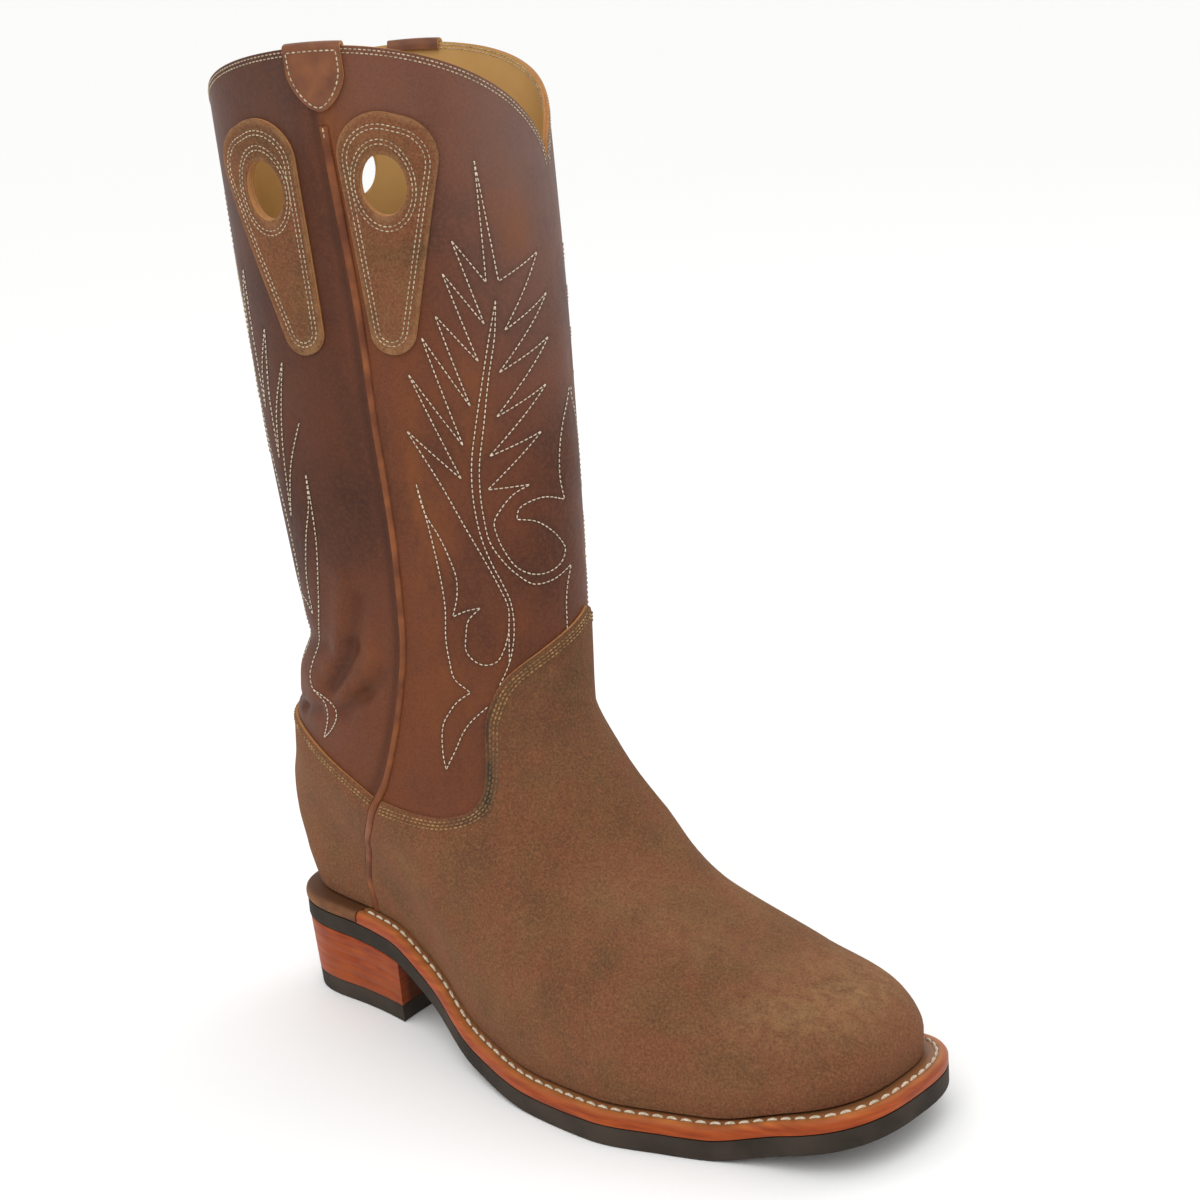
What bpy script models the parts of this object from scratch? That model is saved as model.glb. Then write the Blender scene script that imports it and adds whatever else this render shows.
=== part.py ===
"""Square toe cowboy boot for the right foot.

A tall leather shaft with rough-out vamp and counter, welted leather and rubber sole and stacked heel.
The toe points along +X, the wearer's left side is +Y, and the boot stands on z = 0.
Sizes are in millimetres and become metres where the meshes are made.
"""

import math

import bmesh
import bpy
import numpy as np
from mathutils import Matrix

MM = 0.001
GAP = 0.3
CENTRE_X = 154.3
CENTRE_Y = 6.2

# Sole outline: share of the length from the heel, then the edge's distance from the centre line on each side.
SOLE_LENGTH = 312.0
SOLE_OUTLINE = [
    # share, lateral, medial
    (0.00, 28.0, 36.0),
    (0.12, 23.5, 40.0),
    (0.30, 31.0, 33.0),
    (0.42, 44.5, 30.0),
    (0.55, 55.0, 38.0),
    (0.66, 57.5, 50.0),
    (0.76, 50.0, 57.5),
    (0.88, 38.0, 54.0),
    (1.00, 31.0, 44.5),
]
HEEL_ROUNDING = 38.0
HEEL_POWER = 2.1
TOE_ROUNDING = 33.0
TOE_POWER = 2.8

# Side line of the sole: height of the tread above the floor and thickness of the rubber.
SOLE_LINE = [
    # share, tread, rubber
    (0.00, 34.5, 7.4),
    (0.22, 30.8, 7.4),
    (0.32, 19.0, 7.4),
    (0.44, 4.8, 7.6),
    (0.58, 0.0, 7.8),
    (0.70, 0.0, 8.0),
    (0.80, 0.0, 8.0),
    (0.90, 6.6, 8.0),
    (1.00, 13.4, 7.8),
]
SOLE_BEVEL = 0.8
WELT_THICKNESS = 5.2
WELT_WIDTH = 14.0
WELT_START = 48.0
INSOLE_THICKNESS = 5.2

# Heel block under the outsole.
HEEL_BREAST = 75.0
CAP_THICKNESS = 8.0
HEEL_TAPER = 3.5
HEEL_BACK_TAPER = 2.0
BREAST_SETBACK = 3.0
BREAST_HOLLOW = 3.0

# Sections of the upper from the welt to the collar. Each is a tilted egg from the back point to the front point;
# "sole" is how far it still follows the sole outline, "swing" bends its front inwards, "twist" turns it in degrees.
SECTION_COLUMNS = (
    "level", "back_x", "back_z", "front_x", "front_z", "half", "widest",
    "back_power", "front_power", "sole", "swing", "twist",
)
SECTIONS = [
    (0.00, 5.9, 49.0, 301.5, 26.5, 40.0, 0.55, 2.2, 3.0, 1.00, 8.0, 0.0),
    (0.05, 1.3, 64.0, 301.0, 34.5, 42.0, 0.55, 2.2, 3.0, 1.00, 8.0, 0.0),
    (0.12, -2.0, 82.0, 293.0, 47.1, 43.0, 0.55, 2.2, 2.6, 0.80, 8.0, 0.0),
    (0.20, 1.5, 98.0, 271.3, 54.3, 39.5, 0.52, 2.2, 2.0, 0.35, 8.0, 1.3),
    (0.29, 9.0, 114.0, 224.0, 67.4, 39.0, 0.50, 2.2, 1.9, 0.10, 6.0, 3.8),
    (0.38, 14.0, 130.0, 191.0, 87.6, 35.0, 0.48, 2.2, 1.9, 0.00, 4.0, 10.0),
    (0.46, 22.0, 148.0, 148.6, 139.0, 36.7, 0.48, 2.2, 2.0, 0.00, 2.0, 19.0),
    (0.54, 28.0, 172.0, 147.0, 162.0, 38.6, 0.50, 2.2, 2.1, 0.00, 0.0, 25.2),
    (0.62, 24.5, 198.0, 147.0, 196.0, 40.3, 0.50, 2.2, 2.2, 0.00, 0.0, 25.2),
    (0.80, 14.8, 280.0, 146.0, 280.0, 42.5, 0.50, 2.2, 2.2, 0.00, 0.0, 25.2),
    (1.00, 9.0, 385.0, 140.5, 385.0, 54.0, 0.50, 2.3, 2.3, 0.00, 0.0, 25.2),
    (1.06, 7.5, 416.5, 138.5, 416.5, 56.5, 0.50, 2.3, 2.3, 0.00, 0.0, 25.2),
]
TWIST_CENTRE = 65.0
LEAN = 1.5
LEAN_PIVOT = 140.0
LEAN_FROM = 120.0
LEAN_TO = 200.0
FEATHER_INSET = 8.0
FEATHER_LIFT = 0.3
WALL = 2.2

# Collar line: dips in front and behind, high over the side seams.
COLLAR_SIDE = 402.8
COLLAR_FRONT = 360.0
COLLAR_BACK = 370.7
COLLAR_FRONT_POWER = 0.64
COLLAR_BACK_POWER = 0.55
SHAFT_LEVEL = 0.62
SHAFT_Z = 198.0
TOP_Z = 385.0

# Side seam: how far it lies from the back of the sole at each height, on the outer half.
SIDE_SEAM = [
    # height above the floor, distance forward
    (44.0, 55.0),
    (62.0, 55.0),
    (80.0, 63.0),
    (97.0, 76.0),
    (115.0, 84.2),
    (135.0, 90.6),
    (155.0, 94.8),
    (180.0, 98.0),
    (205.0, 98.4),
    (280.0, 94.8),
    (350.0, 94.4),
    (410.0, 94.0),
]
STRIP_HALF = 2.0
STRIP_HEIGHT = 1.7

# Overlays of rough-out leather on the foot.
OVERLAY_THICKNESS = 1.5
# Vamp edge from the side seam forward to the tongue tip, and counter edge from the seam to the back.
VAMP_EDGE = [
    # share, level
    (0.00, 0.334),
    (0.08, 0.341),
    (0.15, 0.351),
    (0.20, 0.366),
    (0.25, 0.388),
    (0.29, 0.408),
    (0.33, 0.437),
    (0.36, 0.472),
    (0.39, 0.499),
    (0.45, 0.524),
    (0.57, 0.546),
    (0.75, 0.565),
    (1.00, 0.582),
]
COUNTER_EDGE = [
    # share, level
    (0.00, 0.334),
    (0.25, 0.357),
    (0.55, 0.383),
    (1.00, 0.400),
]

# Finger hole patches before and behind each side seam; offsets along the girth from the seam.
HOLE_OFFSETS = {"front": 19.4, "back": 31.5}
HOLE_HEIGHT = 353.5
HOLE_WIDTH = 17.5
HOLE_TALL = 23.0
PATCH_THICKNESS = 1.8
PATCH_CIRCLES = [
    # away from the seam, height above the hole, radius
    (0.2, 11.0, 16.2),
    (5.5, 9.0, 16.2),
    (-6.0, -55.5, 9.0),
]

# Pull straps folded over the collar at the side seams; the inner end is tucked in just below the rim.
STRAP_HALF = 11.3
STRAP_DROP = 23.5
STRAP_STRAIGHT = 0.38
STRAP_ROUNDING = 1.6
STRAP_THICKNESS = 1.5
STRAP_FOLD = 0.4
STRAP_TUCK = 3.0

AROUND_STEPS = 52
LEVELS = [
    0.0, 0.025, 0.06, 0.10, 0.145, 0.195, 0.245, 0.29, 0.335, 0.38, 0.42, 0.46, 0.50, 0.54, 0.58, 0.62,
    0.72, 0.81, 0.88, 0.94, 1.0,
]


def monotone(xs, ys):
    """Smooth curve through the rows of a table that never overshoots between them."""
    xs = np.asarray(xs, float)
    ys = np.asarray(ys, float)
    step = np.diff(xs)
    rise = np.diff(ys) / step
    slope = np.zeros(len(xs))
    turn = rise[:-1] * rise[1:] > 0
    before = np.where(turn, rise[:-1], 1.0)
    after = np.where(turn, rise[1:], 1.0)
    w1 = 2 * step[1:] + step[:-1]
    w2 = step[1:] + 2 * step[:-1]
    slope[1:-1] = np.where(turn, (w1 + w2) / (w1 / before + w2 / after), 0.0)
    slope[0] = rise[0]
    slope[-1] = rise[-1]

    def at(x):
        x = np.clip(np.asarray(x, float), xs[0], xs[-1])
        i = np.clip(np.searchsorted(xs, x, side="right") - 1, 0, len(xs) - 2)
        k = (x - xs[i]) / step[i]
        ends = ys[i] * (1 + 2 * k) * (1 - k) ** 2 + ys[i + 1] * k * k * (3 - 2 * k)
        return ends + step[i] * (slope[i] * k * (1 - k) ** 2 + slope[i + 1] * k * k * (k - 1))

    return at


def columns(table):
    return [np.array(column, float) for column in zip(*table)]


outline_share, lateral_rows, medial_rows = columns(SOLE_OUTLINE)
lateral_edge = monotone(outline_share, lateral_rows)
medial_edge = monotone(outline_share, medial_rows)
line_share, tread_rows, rubber_rows = columns(SOLE_LINE)
tread_line = monotone(line_share, tread_rows)
rubber_line = monotone(line_share, rubber_rows)


def tread(x):
    return tread_line(np.asarray(x) / SOLE_LENGTH)


def rubber_top(x):
    return tread(x) + rubber_line(np.asarray(x) / SOLE_LENGTH)


def welt_top(x):
    return rubber_top(x) + GAP + WELT_THICKNESS


def end_round(distance, reach, power):
    """Share of the full width at a distance from a rounded end."""
    q = np.clip(1 - distance / reach, 0, 1)
    return np.clip(1 - q ** power, 0, 1) ** (1 / power)


def footprint(x, side, start, end, inset):
    """Edge of the sole outline drawn between a start and an end along X, moved in by an inset."""
    share = x / SOLE_LENGTH
    centre = (medial_edge(share) - lateral_edge(share)) / 2
    half = (medial_edge(share) + lateral_edge(share)) / 2 - inset
    ends = end_round(x - start, HEEL_ROUNDING, HEEL_POWER) * end_round(end - x, TOE_ROUNDING, TOE_POWER)
    return centre + side * half * ends


def halves(around):
    """Side of the boot (-1 outer, 1 inner) and share from back to front, for a turn of 2 round the boot."""
    around = np.mod(np.asarray(around, float), 2.0)
    return np.where(around <= 1.0, -1.0, 1.0), np.where(around <= 1.0, around, 2.0 - around)


def rim(around):
    """Edge of the sole in plan."""
    side, share = halves(around)
    x = SOLE_LENGTH * (1 - np.cos(math.pi * share)) / 2
    return np.stack([x, footprint(x, side, 0.0, SOLE_LENGTH, 0.0)], -1)


def rim_inset(around, inset):
    """Points inside the sole's edge, measured square to it."""
    along = rim(np.asarray(around) + 1e-3) - rim(np.asarray(around) - 1e-3)
    along = along / np.linalg.norm(along, axis=-1, keepdims=True)
    outward = np.stack([along[..., 1], -along[..., 0]], -1)
    return rim(around) - outward * np.asarray(inset)[..., None]


def around_at(x):
    """Place round the boot where the sole's outer edge reaches x."""
    return math.acos(1 - 2 * x / SOLE_LENGTH) / math.pi


section_rows = np.array(SECTIONS)
section_rows[0, 2] = welt_top(section_rows[0, 1]) + GAP + FEATHER_LIFT
section_rows[0, 4] = welt_top(section_rows[0, 3]) + GAP + FEATHER_LIFT
section = {
    name: monotone(section_rows[:, 0], section_rows[:, i]) for i, name in enumerate(SECTION_COLUMNS) if i
}
foot_start = section_rows[0, 1]
foot_end = section_rows[0, 3]


def skin(around, level):
    """Outer face of the upper."""
    side, share = halves(around)
    level = np.asarray(level, float)
    t = (1 - np.cos(math.pi * share)) / 2
    row = {name: curve(level) for name, curve in section.items()}
    x = row["back_x"] + (row["front_x"] - row["back_x"]) * t
    widest = row["widest"]
    q = np.where(t < widest, (widest - t) / widest, (t - widest) / (1 - widest))
    power = np.where(t < widest, row["back_power"], row["front_power"])
    egg = row["swing"] * t ** 2 + side * row["half"] * np.clip(1 - q ** power, 0, 1) ** (1 / power)
    foot_x = foot_start + (foot_end - foot_start) * t
    bulge = np.interp(level, [0.0, 0.05, 0.12, 0.20], [0.0, 2.0, 1.0, 0.0])
    foot = footprint(foot_x, side, foot_start, foot_end, FEATHER_INSET - bulge)
    y = row["sole"] * foot + (1 - row["sole"]) * egg
    straight = welt_top(foot_start) + (welt_top(foot_end) - welt_top(foot_start)) * t
    z = row["back_z"] + (row["front_z"] - row["back_z"]) * t + row["sole"] * (welt_top(foot_x) - straight)
    turn = np.radians(row["twist"])
    turned_x = TWIST_CENTRE + (x - TWIST_CENTRE) * np.cos(turn) - y * np.sin(turn)
    turned_y = (x - TWIST_CENTRE) * np.sin(turn) + y * np.cos(turn)
    k = np.clip((z - LEAN_FROM) / (LEAN_TO - LEAN_FROM), 0, 1)
    lean = k * k * (3 - 2 * k) * math.sin(math.radians(LEAN))
    return np.stack([turned_x, turned_y + lean * (z - LEAN_PIVOT), z - lean * turned_y], -1)


def collar_level(around):
    """Level at which the wall ends, from the height of the collar line."""
    _, share = halves(around)
    power = np.where(share > 0.5, COLLAR_FRONT_POWER, COLLAR_BACK_POWER)
    high = np.abs(np.sin(math.pi * share)) ** power
    low = np.where(share > 0.5, COLLAR_FRONT, COLLAR_BACK)
    height = low + (COLLAR_SIDE - low) * high
    return SHAFT_LEVEL + (height - SHAFT_Z) / (TOP_Z - SHAFT_Z) * (1 - SHAFT_LEVEL)


def wall(around, level):
    """Outer face of the upper, with level 1 on the collar line."""
    level = np.asarray(level, float)
    squeeze = (collar_level(around) - SHAFT_LEVEL) / (1 - SHAFT_LEVEL)
    return skin(around, np.where(level > SHAFT_LEVEL, SHAFT_LEVEL + (level - SHAFT_LEVEL) * squeeze, level))


def outward(around, level):
    """Unit vectors square to the wall, level with the floor along the welt."""
    around, level = np.broadcast_arrays(np.asarray(around, float), np.asarray(level, float))
    across = wall(around + 2e-3, level) - wall(around - 2e-3, level)
    up = wall(around, np.minimum(level + 2e-3, 1.0)) - wall(around, np.maximum(level - 2e-3, 0.0))
    normal = np.cross(across, up)
    normal[..., 2] = np.where(level < 0.01, 0.0, normal[..., 2])
    return normal / np.linalg.norm(normal, axis=-1, keepdims=True)


def raised(around, level, out):
    return wall(around, level) + outward(around, level) * np.asarray(out)[..., None]


def girth_step(around, level, distance):
    """Change of place round the boot that moves a distance along the wall."""
    around = np.asarray(around, float)
    across = np.linalg.norm(wall(around + 2e-3, level) - wall(around - 2e-3, level), axis=-1) / 4e-3
    return distance / across


seam_height, seam_forward = columns(SIDE_SEAM)
seam_reach = monotone(seam_height, seam_forward)


def seam_place(level):
    """Place round the outer half where the side seam crosses a level, found by halving."""
    low = 0.15
    high = 0.70
    for _ in range(30):
        middle = (low + high) / 2
        point = wall(middle, level)
        if point[0] < seam_reach(point[2]):
            low = middle
        else:
            high = middle
    return (low + high) / 2


seam_levels = np.linspace(0, 1, 101)
seam_line = monotone(seam_levels, [seam_place(level) for level in seam_levels])


def level_at(around, height):
    """Level at which the shaft reaches a height, found by halving."""
    low = 0.40
    high = 1.0
    for _ in range(40):
        middle = (low + high) / 2
        if wall(around, middle)[2] < height:
            low = middle
        else:
            high = middle
    return (low + high) / 2


# Start from an empty scene.
for old in list(bpy.data.objects):
    bpy.data.objects.remove(old, do_unlink=True)

boot = bpy.data.collections.new("cowboy_boot")
bpy.context.scene.collection.children.link(boot)
cutters = bpy.data.collections.new("cowboy_boot_cutters")
bpy.context.scene.collection.children.link(cutters)

root = bpy.data.objects.new("boot_frame", None)
root.empty_display_size = 0.05
root.location = (-CENTRE_X * MM, -CENTRE_Y * MM, 0.0)
boot.objects.link(root)


def finish(name, colour, roughness):
    """Plain material of one piece."""
    material = bpy.data.materials.new(name)
    material.use_nodes = True
    shader = material.node_tree.nodes["Principled BSDF"]
    shader.inputs["Base Color"].default_value = (*colour, 1.0)
    shader.inputs["Roughness"].default_value = roughness
    shader.inputs["Metallic"].default_value = 0.0
    return material


def add_object(name, mesh, material):
    piece = bpy.data.objects.new(name, mesh)
    piece.parent = root
    if material is None:
        piece.hide_render = True
        piece.display_type = "WIRE"
        cutters.objects.link(piece)
    else:
        mesh.materials.append(material)
        mesh.shade_smooth()
        mesh.set_sharp_from_angle(angle=math.radians(35))
        boot.objects.link(piece)
    return piece


def mesh_from(name, shape):
    mesh = bpy.data.meshes.new(name)
    shape.to_mesh(mesh)
    shape.free()
    return mesh


def loft(name, rings, material):
    """Closed solid through rings of equal size, with its two ends filled."""
    shape = bmesh.new()
    rows = [[shape.verts.new(point * MM) for point in ring] for ring in rings]
    count = len(rows[0])
    for first, second in zip(rows[:-1], rows[1:]):
        for i in range(count):
            j = (i + 1) % count
            shape.faces.new((first[i], first[j], second[j], second[i]))
    shape.faces.new(list(reversed(rows[0])))
    shape.faces.new(rows[-1])
    bmesh.ops.recalc_face_normals(shape, faces=shape.faces)
    return add_object(name, mesh_from(name, shape), material)


def thick_sheet(name, inner, outer, material):
    """Closed solid between two grids of points that lie over each other."""
    shape = bmesh.new()
    low = [[shape.verts.new(point * MM) for point in row] for row in inner]
    high = [[shape.verts.new(point * MM) for point in row] for row in outer]
    rows = len(low)
    count = len(low[0])
    for i in range(rows - 1):
        for j in range(count - 1):
            shape.faces.new((high[i][j], high[i + 1][j], high[i + 1][j + 1], high[i][j + 1]))
            shape.faces.new((low[i][j], low[i][j + 1], low[i + 1][j + 1], low[i + 1][j]))
    for i in range(rows - 1):
        shape.faces.new((low[i][0], low[i + 1][0], high[i + 1][0], high[i][0]))
        shape.faces.new((low[i][-1], high[i][-1], high[i + 1][-1], low[i + 1][-1]))
    for j in range(count - 1):
        shape.faces.new((low[0][j], high[0][j], high[0][j + 1], low[0][j + 1]))
        shape.faces.new((low[-1][j], low[-1][j + 1], high[-1][j + 1], high[-1][j]))
    bmesh.ops.recalc_face_normals(shape, faces=shape.faces)
    return add_object(name, mesh_from(name, shape), material)


def cut(piece, cutter, operation):
    step = piece.modifiers.new(operation.lower() + "_" + cutter.name, "BOOLEAN")
    step.operation = operation
    step.solver = "EXACT"
    step.object = cutter


# Outsole: rubber sheet from the back of the heel to the toe, through flat sections along its length.
black_rubber = finish("black_rubber", (0.045, 0.038, 0.034), 0.75)
stations = SOLE_LENGTH * (1 - np.cos(np.linspace(0.035, math.pi - 0.035, 52))) / 2
sole_rings = []
for x in stations:
    outer = footprint(x, -1, 0.0, SOLE_LENGTH, 0.0)
    inner = footprint(x, 1, 0.0, SOLE_LENGTH, 0.0)
    edge = min(SOLE_BEVEL, (inner - outer) / 6)
    low = float(tread(x))
    high = float(rubber_top(x))
    sole_rings.append(np.array([
        (x, outer + edge, low), (x, outer, low + edge), (x, outer, high),
        (x, inner, high), (x, inner, low + edge), (x, inner - edge, low),
    ]))
loft("outsole", sole_rings, black_rubber)

# Welt: leather strip round the forefoot and waist, with a rounded upper edge.
welt_leather = finish("welt_leather", (0.42, 0.11, 0.035), 0.45)
WELT_PROFILE = [
    # inset from the sole's edge, height in shares of the thickness
    (0.5, 0.0), (0.0, 0.12), (0.0, 0.66), (1.4, 1.0), (WELT_WIDTH, 1.0), (WELT_WIDTH, 0.0),
]


def strip(name, arounds, profile, material):
    rings = []
    for place in arounds:
        ring = []
        for inset, rise in profile:
            x, y = rim_inset(place, inset)
            ring.append((x, y, float(rubber_top(x)) + GAP + WELT_THICKNESS * rise))
        rings.append(np.array(ring))
    return loft(name, rings, material)


strip_start = around_at(WELT_START)
strip_gap = 0.5 * GAP / np.linalg.norm((rim(strip_start + 1e-3) - rim(strip_start - 1e-3)) / 2e-3)
strip("welt", np.linspace(strip_start + strip_gap, 2 - strip_start - strip_gap, 71), WELT_PROFILE, welt_leather)

# Heel rand: dark leather strip round the heel seat between the ends of the welt.
rand_leather = finish("rand_leather", (0.085, 0.04, 0.022), 0.5)
RAND_PROFILE = [
    # inset from the sole's edge, height in shares of the thickness
    (0.6, 0.0), (-0.5, 0.30), (-0.5, 0.65), (1.0, 1.0), (WELT_WIDTH, 1.0), (WELT_WIDTH, 0.0),
]
strip("heel_rand", np.linspace(-strip_start + strip_gap, strip_start - strip_gap, 27), RAND_PROFILE, rand_leather)

# Insole: plate inside the welt and rand.
insole_leather = finish("insole_leather", (0.42, 0.25, 0.12), 0.7)
insole_start = WELT_WIDTH + 2 * GAP + 0.6
insole_end = SOLE_LENGTH - insole_start - 0.5
insole_tips = np.array([0.2, 1.0, 2.5, 5.0, 9.0])
insole_stations = np.concatenate([
    insole_start + insole_tips,
    stations[(stations > insole_start + 11.0) & (stations < insole_end - 11.0)],
    insole_end - insole_tips[::-1],
])
insole_rings = []
for x in insole_stations:
    side_points = []
    for side in (-1, 1):
        edge_around = [around_at(x), 2 - around_at(x)][side > 0]
        places = edge_around + np.linspace(-0.09, 0.09, 61)
        inside = rim_inset(places, WELT_WIDTH + 2 * GAP + 0.4)
        nearest = inside[np.argmin(np.abs(inside[:, 0] - x))]
        side_points.append(nearest[1])
    outer, inner = side_points
    low = float(np.interp(x, stations, rubber_top(stations))) + GAP
    insole_rings.append(np.array([
        (x, outer, low), (x, outer, low + INSOLE_THICKNESS),
        (x, inner, low + INSOLE_THICKNESS), (x, inner, low),
    ]))
loft("insole", insole_rings, insole_leather)

# Heel: stacked leather block that tapers to a rubber cap, with a slightly hollow breast.
heel_leather = finish("stacked_heel_leather", (0.34, 0.105, 0.04), 0.5)
breast_around = around_at(HEEL_BREAST)


def heel_ring(depth, height):
    """Outline of the heel at a share of its depth; height is a number or a function of x."""
    places = np.linspace(-breast_around, breast_around, 31)
    points = rim_inset(places, HEEL_TAPER * depth + 0.4)
    front = HEEL_BREAST - BREAST_SETBACK * depth
    back = points[:, 0].min() + (HEEL_BACK_TAPER - HEEL_TAPER) * depth
    spread = (points[:, 0] - points[:, 0].min()) / (points[:, 0].max() - points[:, 0].min())
    points[:, 0] = back + (front - back) * spread
    across = np.linspace(0, 1, 7)[1:-1]
    hollow = BREAST_HOLLOW * 4 * across * (1 - across)
    breast = np.stack([
        front - hollow,
        points[-1, 1] + (points[0, 1] - points[-1, 1]) * across,
    ], -1)
    plan = np.concatenate([points, breast])
    z = height(plan[:, 0]) if callable(height) else np.full(len(plan), height)
    return np.column_stack([plan, z])


def stack_ring(share):
    """Ring of the stack from the outsole (0) to the cap (1)."""
    def height(x):
        top = tread(x) - GAP
        return top + (CAP_THICKNESS + GAP - top) * share
    return heel_ring(share * 0.75, height)


loft("heel_stack", [stack_ring(share) for share in (0.0, 0.35, 0.7, 1.0)], heel_leather)
loft("heel_cap", [heel_ring(0.77, CAP_THICKNESS), heel_ring(0.98, 0.8), heel_ring(1.2, 0.0)], black_rubber)

# Upper: one hollow leather wall, shaft and foot, open at the collar and underneath.
shaft_leather = finish("shaft_leather", (0.095, 0.04, 0.026), 0.42)
places = np.arange(AROUND_STEPS) * 2.0 / AROUND_STEPS
shape = bmesh.new()
grid = [[shape.verts.new(wall(place, level) * MM) for place in places] for level in LEVELS]
for lower, upper_row in zip(grid[:-1], grid[1:]):
    for i in range(AROUND_STEPS):
        j = (i + 1) % AROUND_STEPS
        shape.faces.new((lower[i], lower[j], upper_row[j], upper_row[i]))
upper = add_object("upper", mesh_from("upper", shape), shaft_leather)
shell = upper.modifiers.new("wall", "SOLIDIFY")
shell.thickness = WALL * MM
shell.offset = -1.0
shell.use_even_offset = True


def facet_sheet(name, first, last, low, high, inner, outer, material):
    """Part of a larger form over the upper, on the same facets: places first to last, levels low to high."""
    chosen = np.arange(first, last + 1) * 2.0 / AROUND_STEPS
    levels = np.array([max(level, 0.003) for level in LEVELS if low <= level <= high])
    around, level = np.meshgrid(chosen, levels, indexing="ij")
    return thick_sheet(name, raised(around, level, inner), raised(around, level, outer), material)


# Vamp and counter: rough-out leather overlays on the foot, cut from forms that follow the upper.
rough_leather = finish("rough_out_leather", (0.19, 0.085, 0.042), 0.95)
vamp_share, vamp_rows = columns(VAMP_EDGE)
vamp_level = monotone(vamp_share, vamp_rows)
counter_share, counter_rows = columns(COUNTER_EDGE)
counter_level = monotone(counter_share, counter_rows)


def from_seam(share, level, forward):
    """Place on the outer half at a share of the way from the strip's edge to the front or the back."""
    seam = seam_line(level)
    clear = girth_step(seam, level, STRIP_HALF + GAP)
    if forward:
        start = seam + clear
        return start + (1.0 - start) * share
    start = seam - clear
    return start - start * share


def mirrored(around, level):
    """Both halves of a grid on the outer half that ends at the front or back centre line."""
    return np.concatenate([around, 2.0 - around[-2::-1]]), np.concatenate([level, level[-2::-1]])


def cutter_sheet(name, around, level):
    low = raised(around, level, -1.2)
    high = raised(around, level, 5.0)
    low[:, 0, 2] -= 4.0
    high[:, 0, 2] -= 4.0
    return thick_sheet(name, low, high, None)


climb = np.linspace(0, 1, 14)
shares = monotone(np.linspace(0, 1, len(VAMP_EDGE)), vamp_share)(np.linspace(0, 1, 29))
vamp_levels = vamp_level(shares)[:, None] * climb
vamp_places = from_seam(shares[:, None] + 0 * climb, vamp_levels, True)
vamp_cutter = cutter_sheet("vamp_outline", *mirrored(vamp_places, vamp_levels))
first_place = int(np.floor(vamp_places.min() * AROUND_STEPS / 2)) - 1
vamp = facet_sheet(
    "vamp", first_place, AROUND_STEPS - first_place, 0.0, 0.62, GAP, GAP + OVERLAY_THICKNESS, rough_leather
)
cut(vamp, vamp_cutter, "INTERSECT")

shares = np.linspace(0, 1, 13)
counter_levels = counter_level(shares)[:, None] * climb
counter_places = from_seam(shares[:, None] + 0 * climb, counter_levels, False)
around, level = mirrored(counter_places, counter_levels)
around = np.where(np.arange(len(around))[:, None] > 12, around - 2.0, around)
counter_cutter = cutter_sheet("counter_outline", around, level)
last_place = int(np.ceil(counter_places.max() * AROUND_STEPS / 2)) + 1
counter = facet_sheet(
    "counter", -last_place, last_place, 0.0, 0.50, GAP, GAP + OVERLAY_THICKNESS, rough_leather
)
cut(counter, counter_cutter, "INTERSECT")

# Side strips: piping over both side seams, from the pull straps down between vamp and counter to the welt.
strip_leather = finish("strip_leather", (0.11, 0.045, 0.026), 0.45)
STRIP_PROFILE = [
    # along the girth in shares of the half width, height in shares
    (-1.0, 0.0), (-0.85, 0.62), (0.0, 1.0), (0.85, 0.62), (1.0, 0.0),
]


def half_turn(around, side):
    return around if side < 0 else 2.0 - around


for side, hand in ((-1, "lateral"), (1, "medial")):
    top = level_at(float(seam_line(1.0)), COLLAR_SIDE - STRAP_DROP - STRAP_THICKNESS - 1.5)
    foot_levels = climb * counter_level(0.0)
    rings = []
    for level in np.concatenate([foot_levels, np.linspace(foot_levels[-1], top, 23)[1:]]):
        seam = float(seam_line(level))
        ring = []
        for along, rise in STRIP_PROFILE:
            place = half_turn(seam + girth_step(seam, level, STRIP_HALF * along), side)
            ring.append(raised(place, level, GAP + 0.1 + STRIP_HEIGHT * rise))
        rings.append(np.array(ring))
    loft("side_strip_" + hand, rings, strip_leather)

# Finger hole patches: rough-out teardrops around oval holes, before and behind each side seam.


def local_frame(around, level):
    """Centre, girth direction, upward direction and outward direction on the wall."""
    centre = wall(around, level)
    out = outward(around, level)
    up = wall(around, level + 1e-3) - wall(around, level - 1e-3)
    up = up - out * np.dot(up, out)
    up = up / np.linalg.norm(up)
    return centre, np.cross(up, out), up, out


def placed(frame):
    centre, girth, up, out = frame
    matrix = Matrix.Identity(4)
    for i in range(3):
        matrix[i][0] = girth[i]
        matrix[i][1] = up[i]
        matrix[i][2] = out[i]
        matrix[i][3] = centre[i] * MM
    return matrix


def hull_of_circles(circles, sign):
    """Outline round a few circles, found by walking round the directions."""
    points = []
    for angle in np.arange(0, 2 * math.pi, 2 * math.pi / 36):
        direction = np.array([math.cos(angle), math.sin(angle)])
        reach = [(np.dot((sign * a, h), direction) + r, sign * a, h, r) for a, h, r in circles]
        _, a, h, r = max(reach)
        points.append((a + r * direction[0], h + r * direction[1]))
    return points


def prism(name, outline, low, high, frame):
    """Straight cutter with an outline on the wall, from below to above it."""
    shape = bmesh.new()
    bottom = [shape.verts.new((x * MM, y * MM, low * MM)) for x, y in outline]
    face = shape.faces.new(bottom)
    grown = bmesh.ops.extrude_face_region(shape, geom=[face])
    raised_verts = [item for item in grown["geom"] if isinstance(item, bmesh.types.BMVert)]
    bmesh.ops.translate(shape, verts=raised_verts, vec=(0, 0, (high - low) * MM))
    bmesh.ops.recalc_face_normals(shape, faces=shape.faces)
    cutter = add_object(name, mesh_from(name, shape), None)
    cutter.matrix_local = placed(frame)
    return cutter


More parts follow.
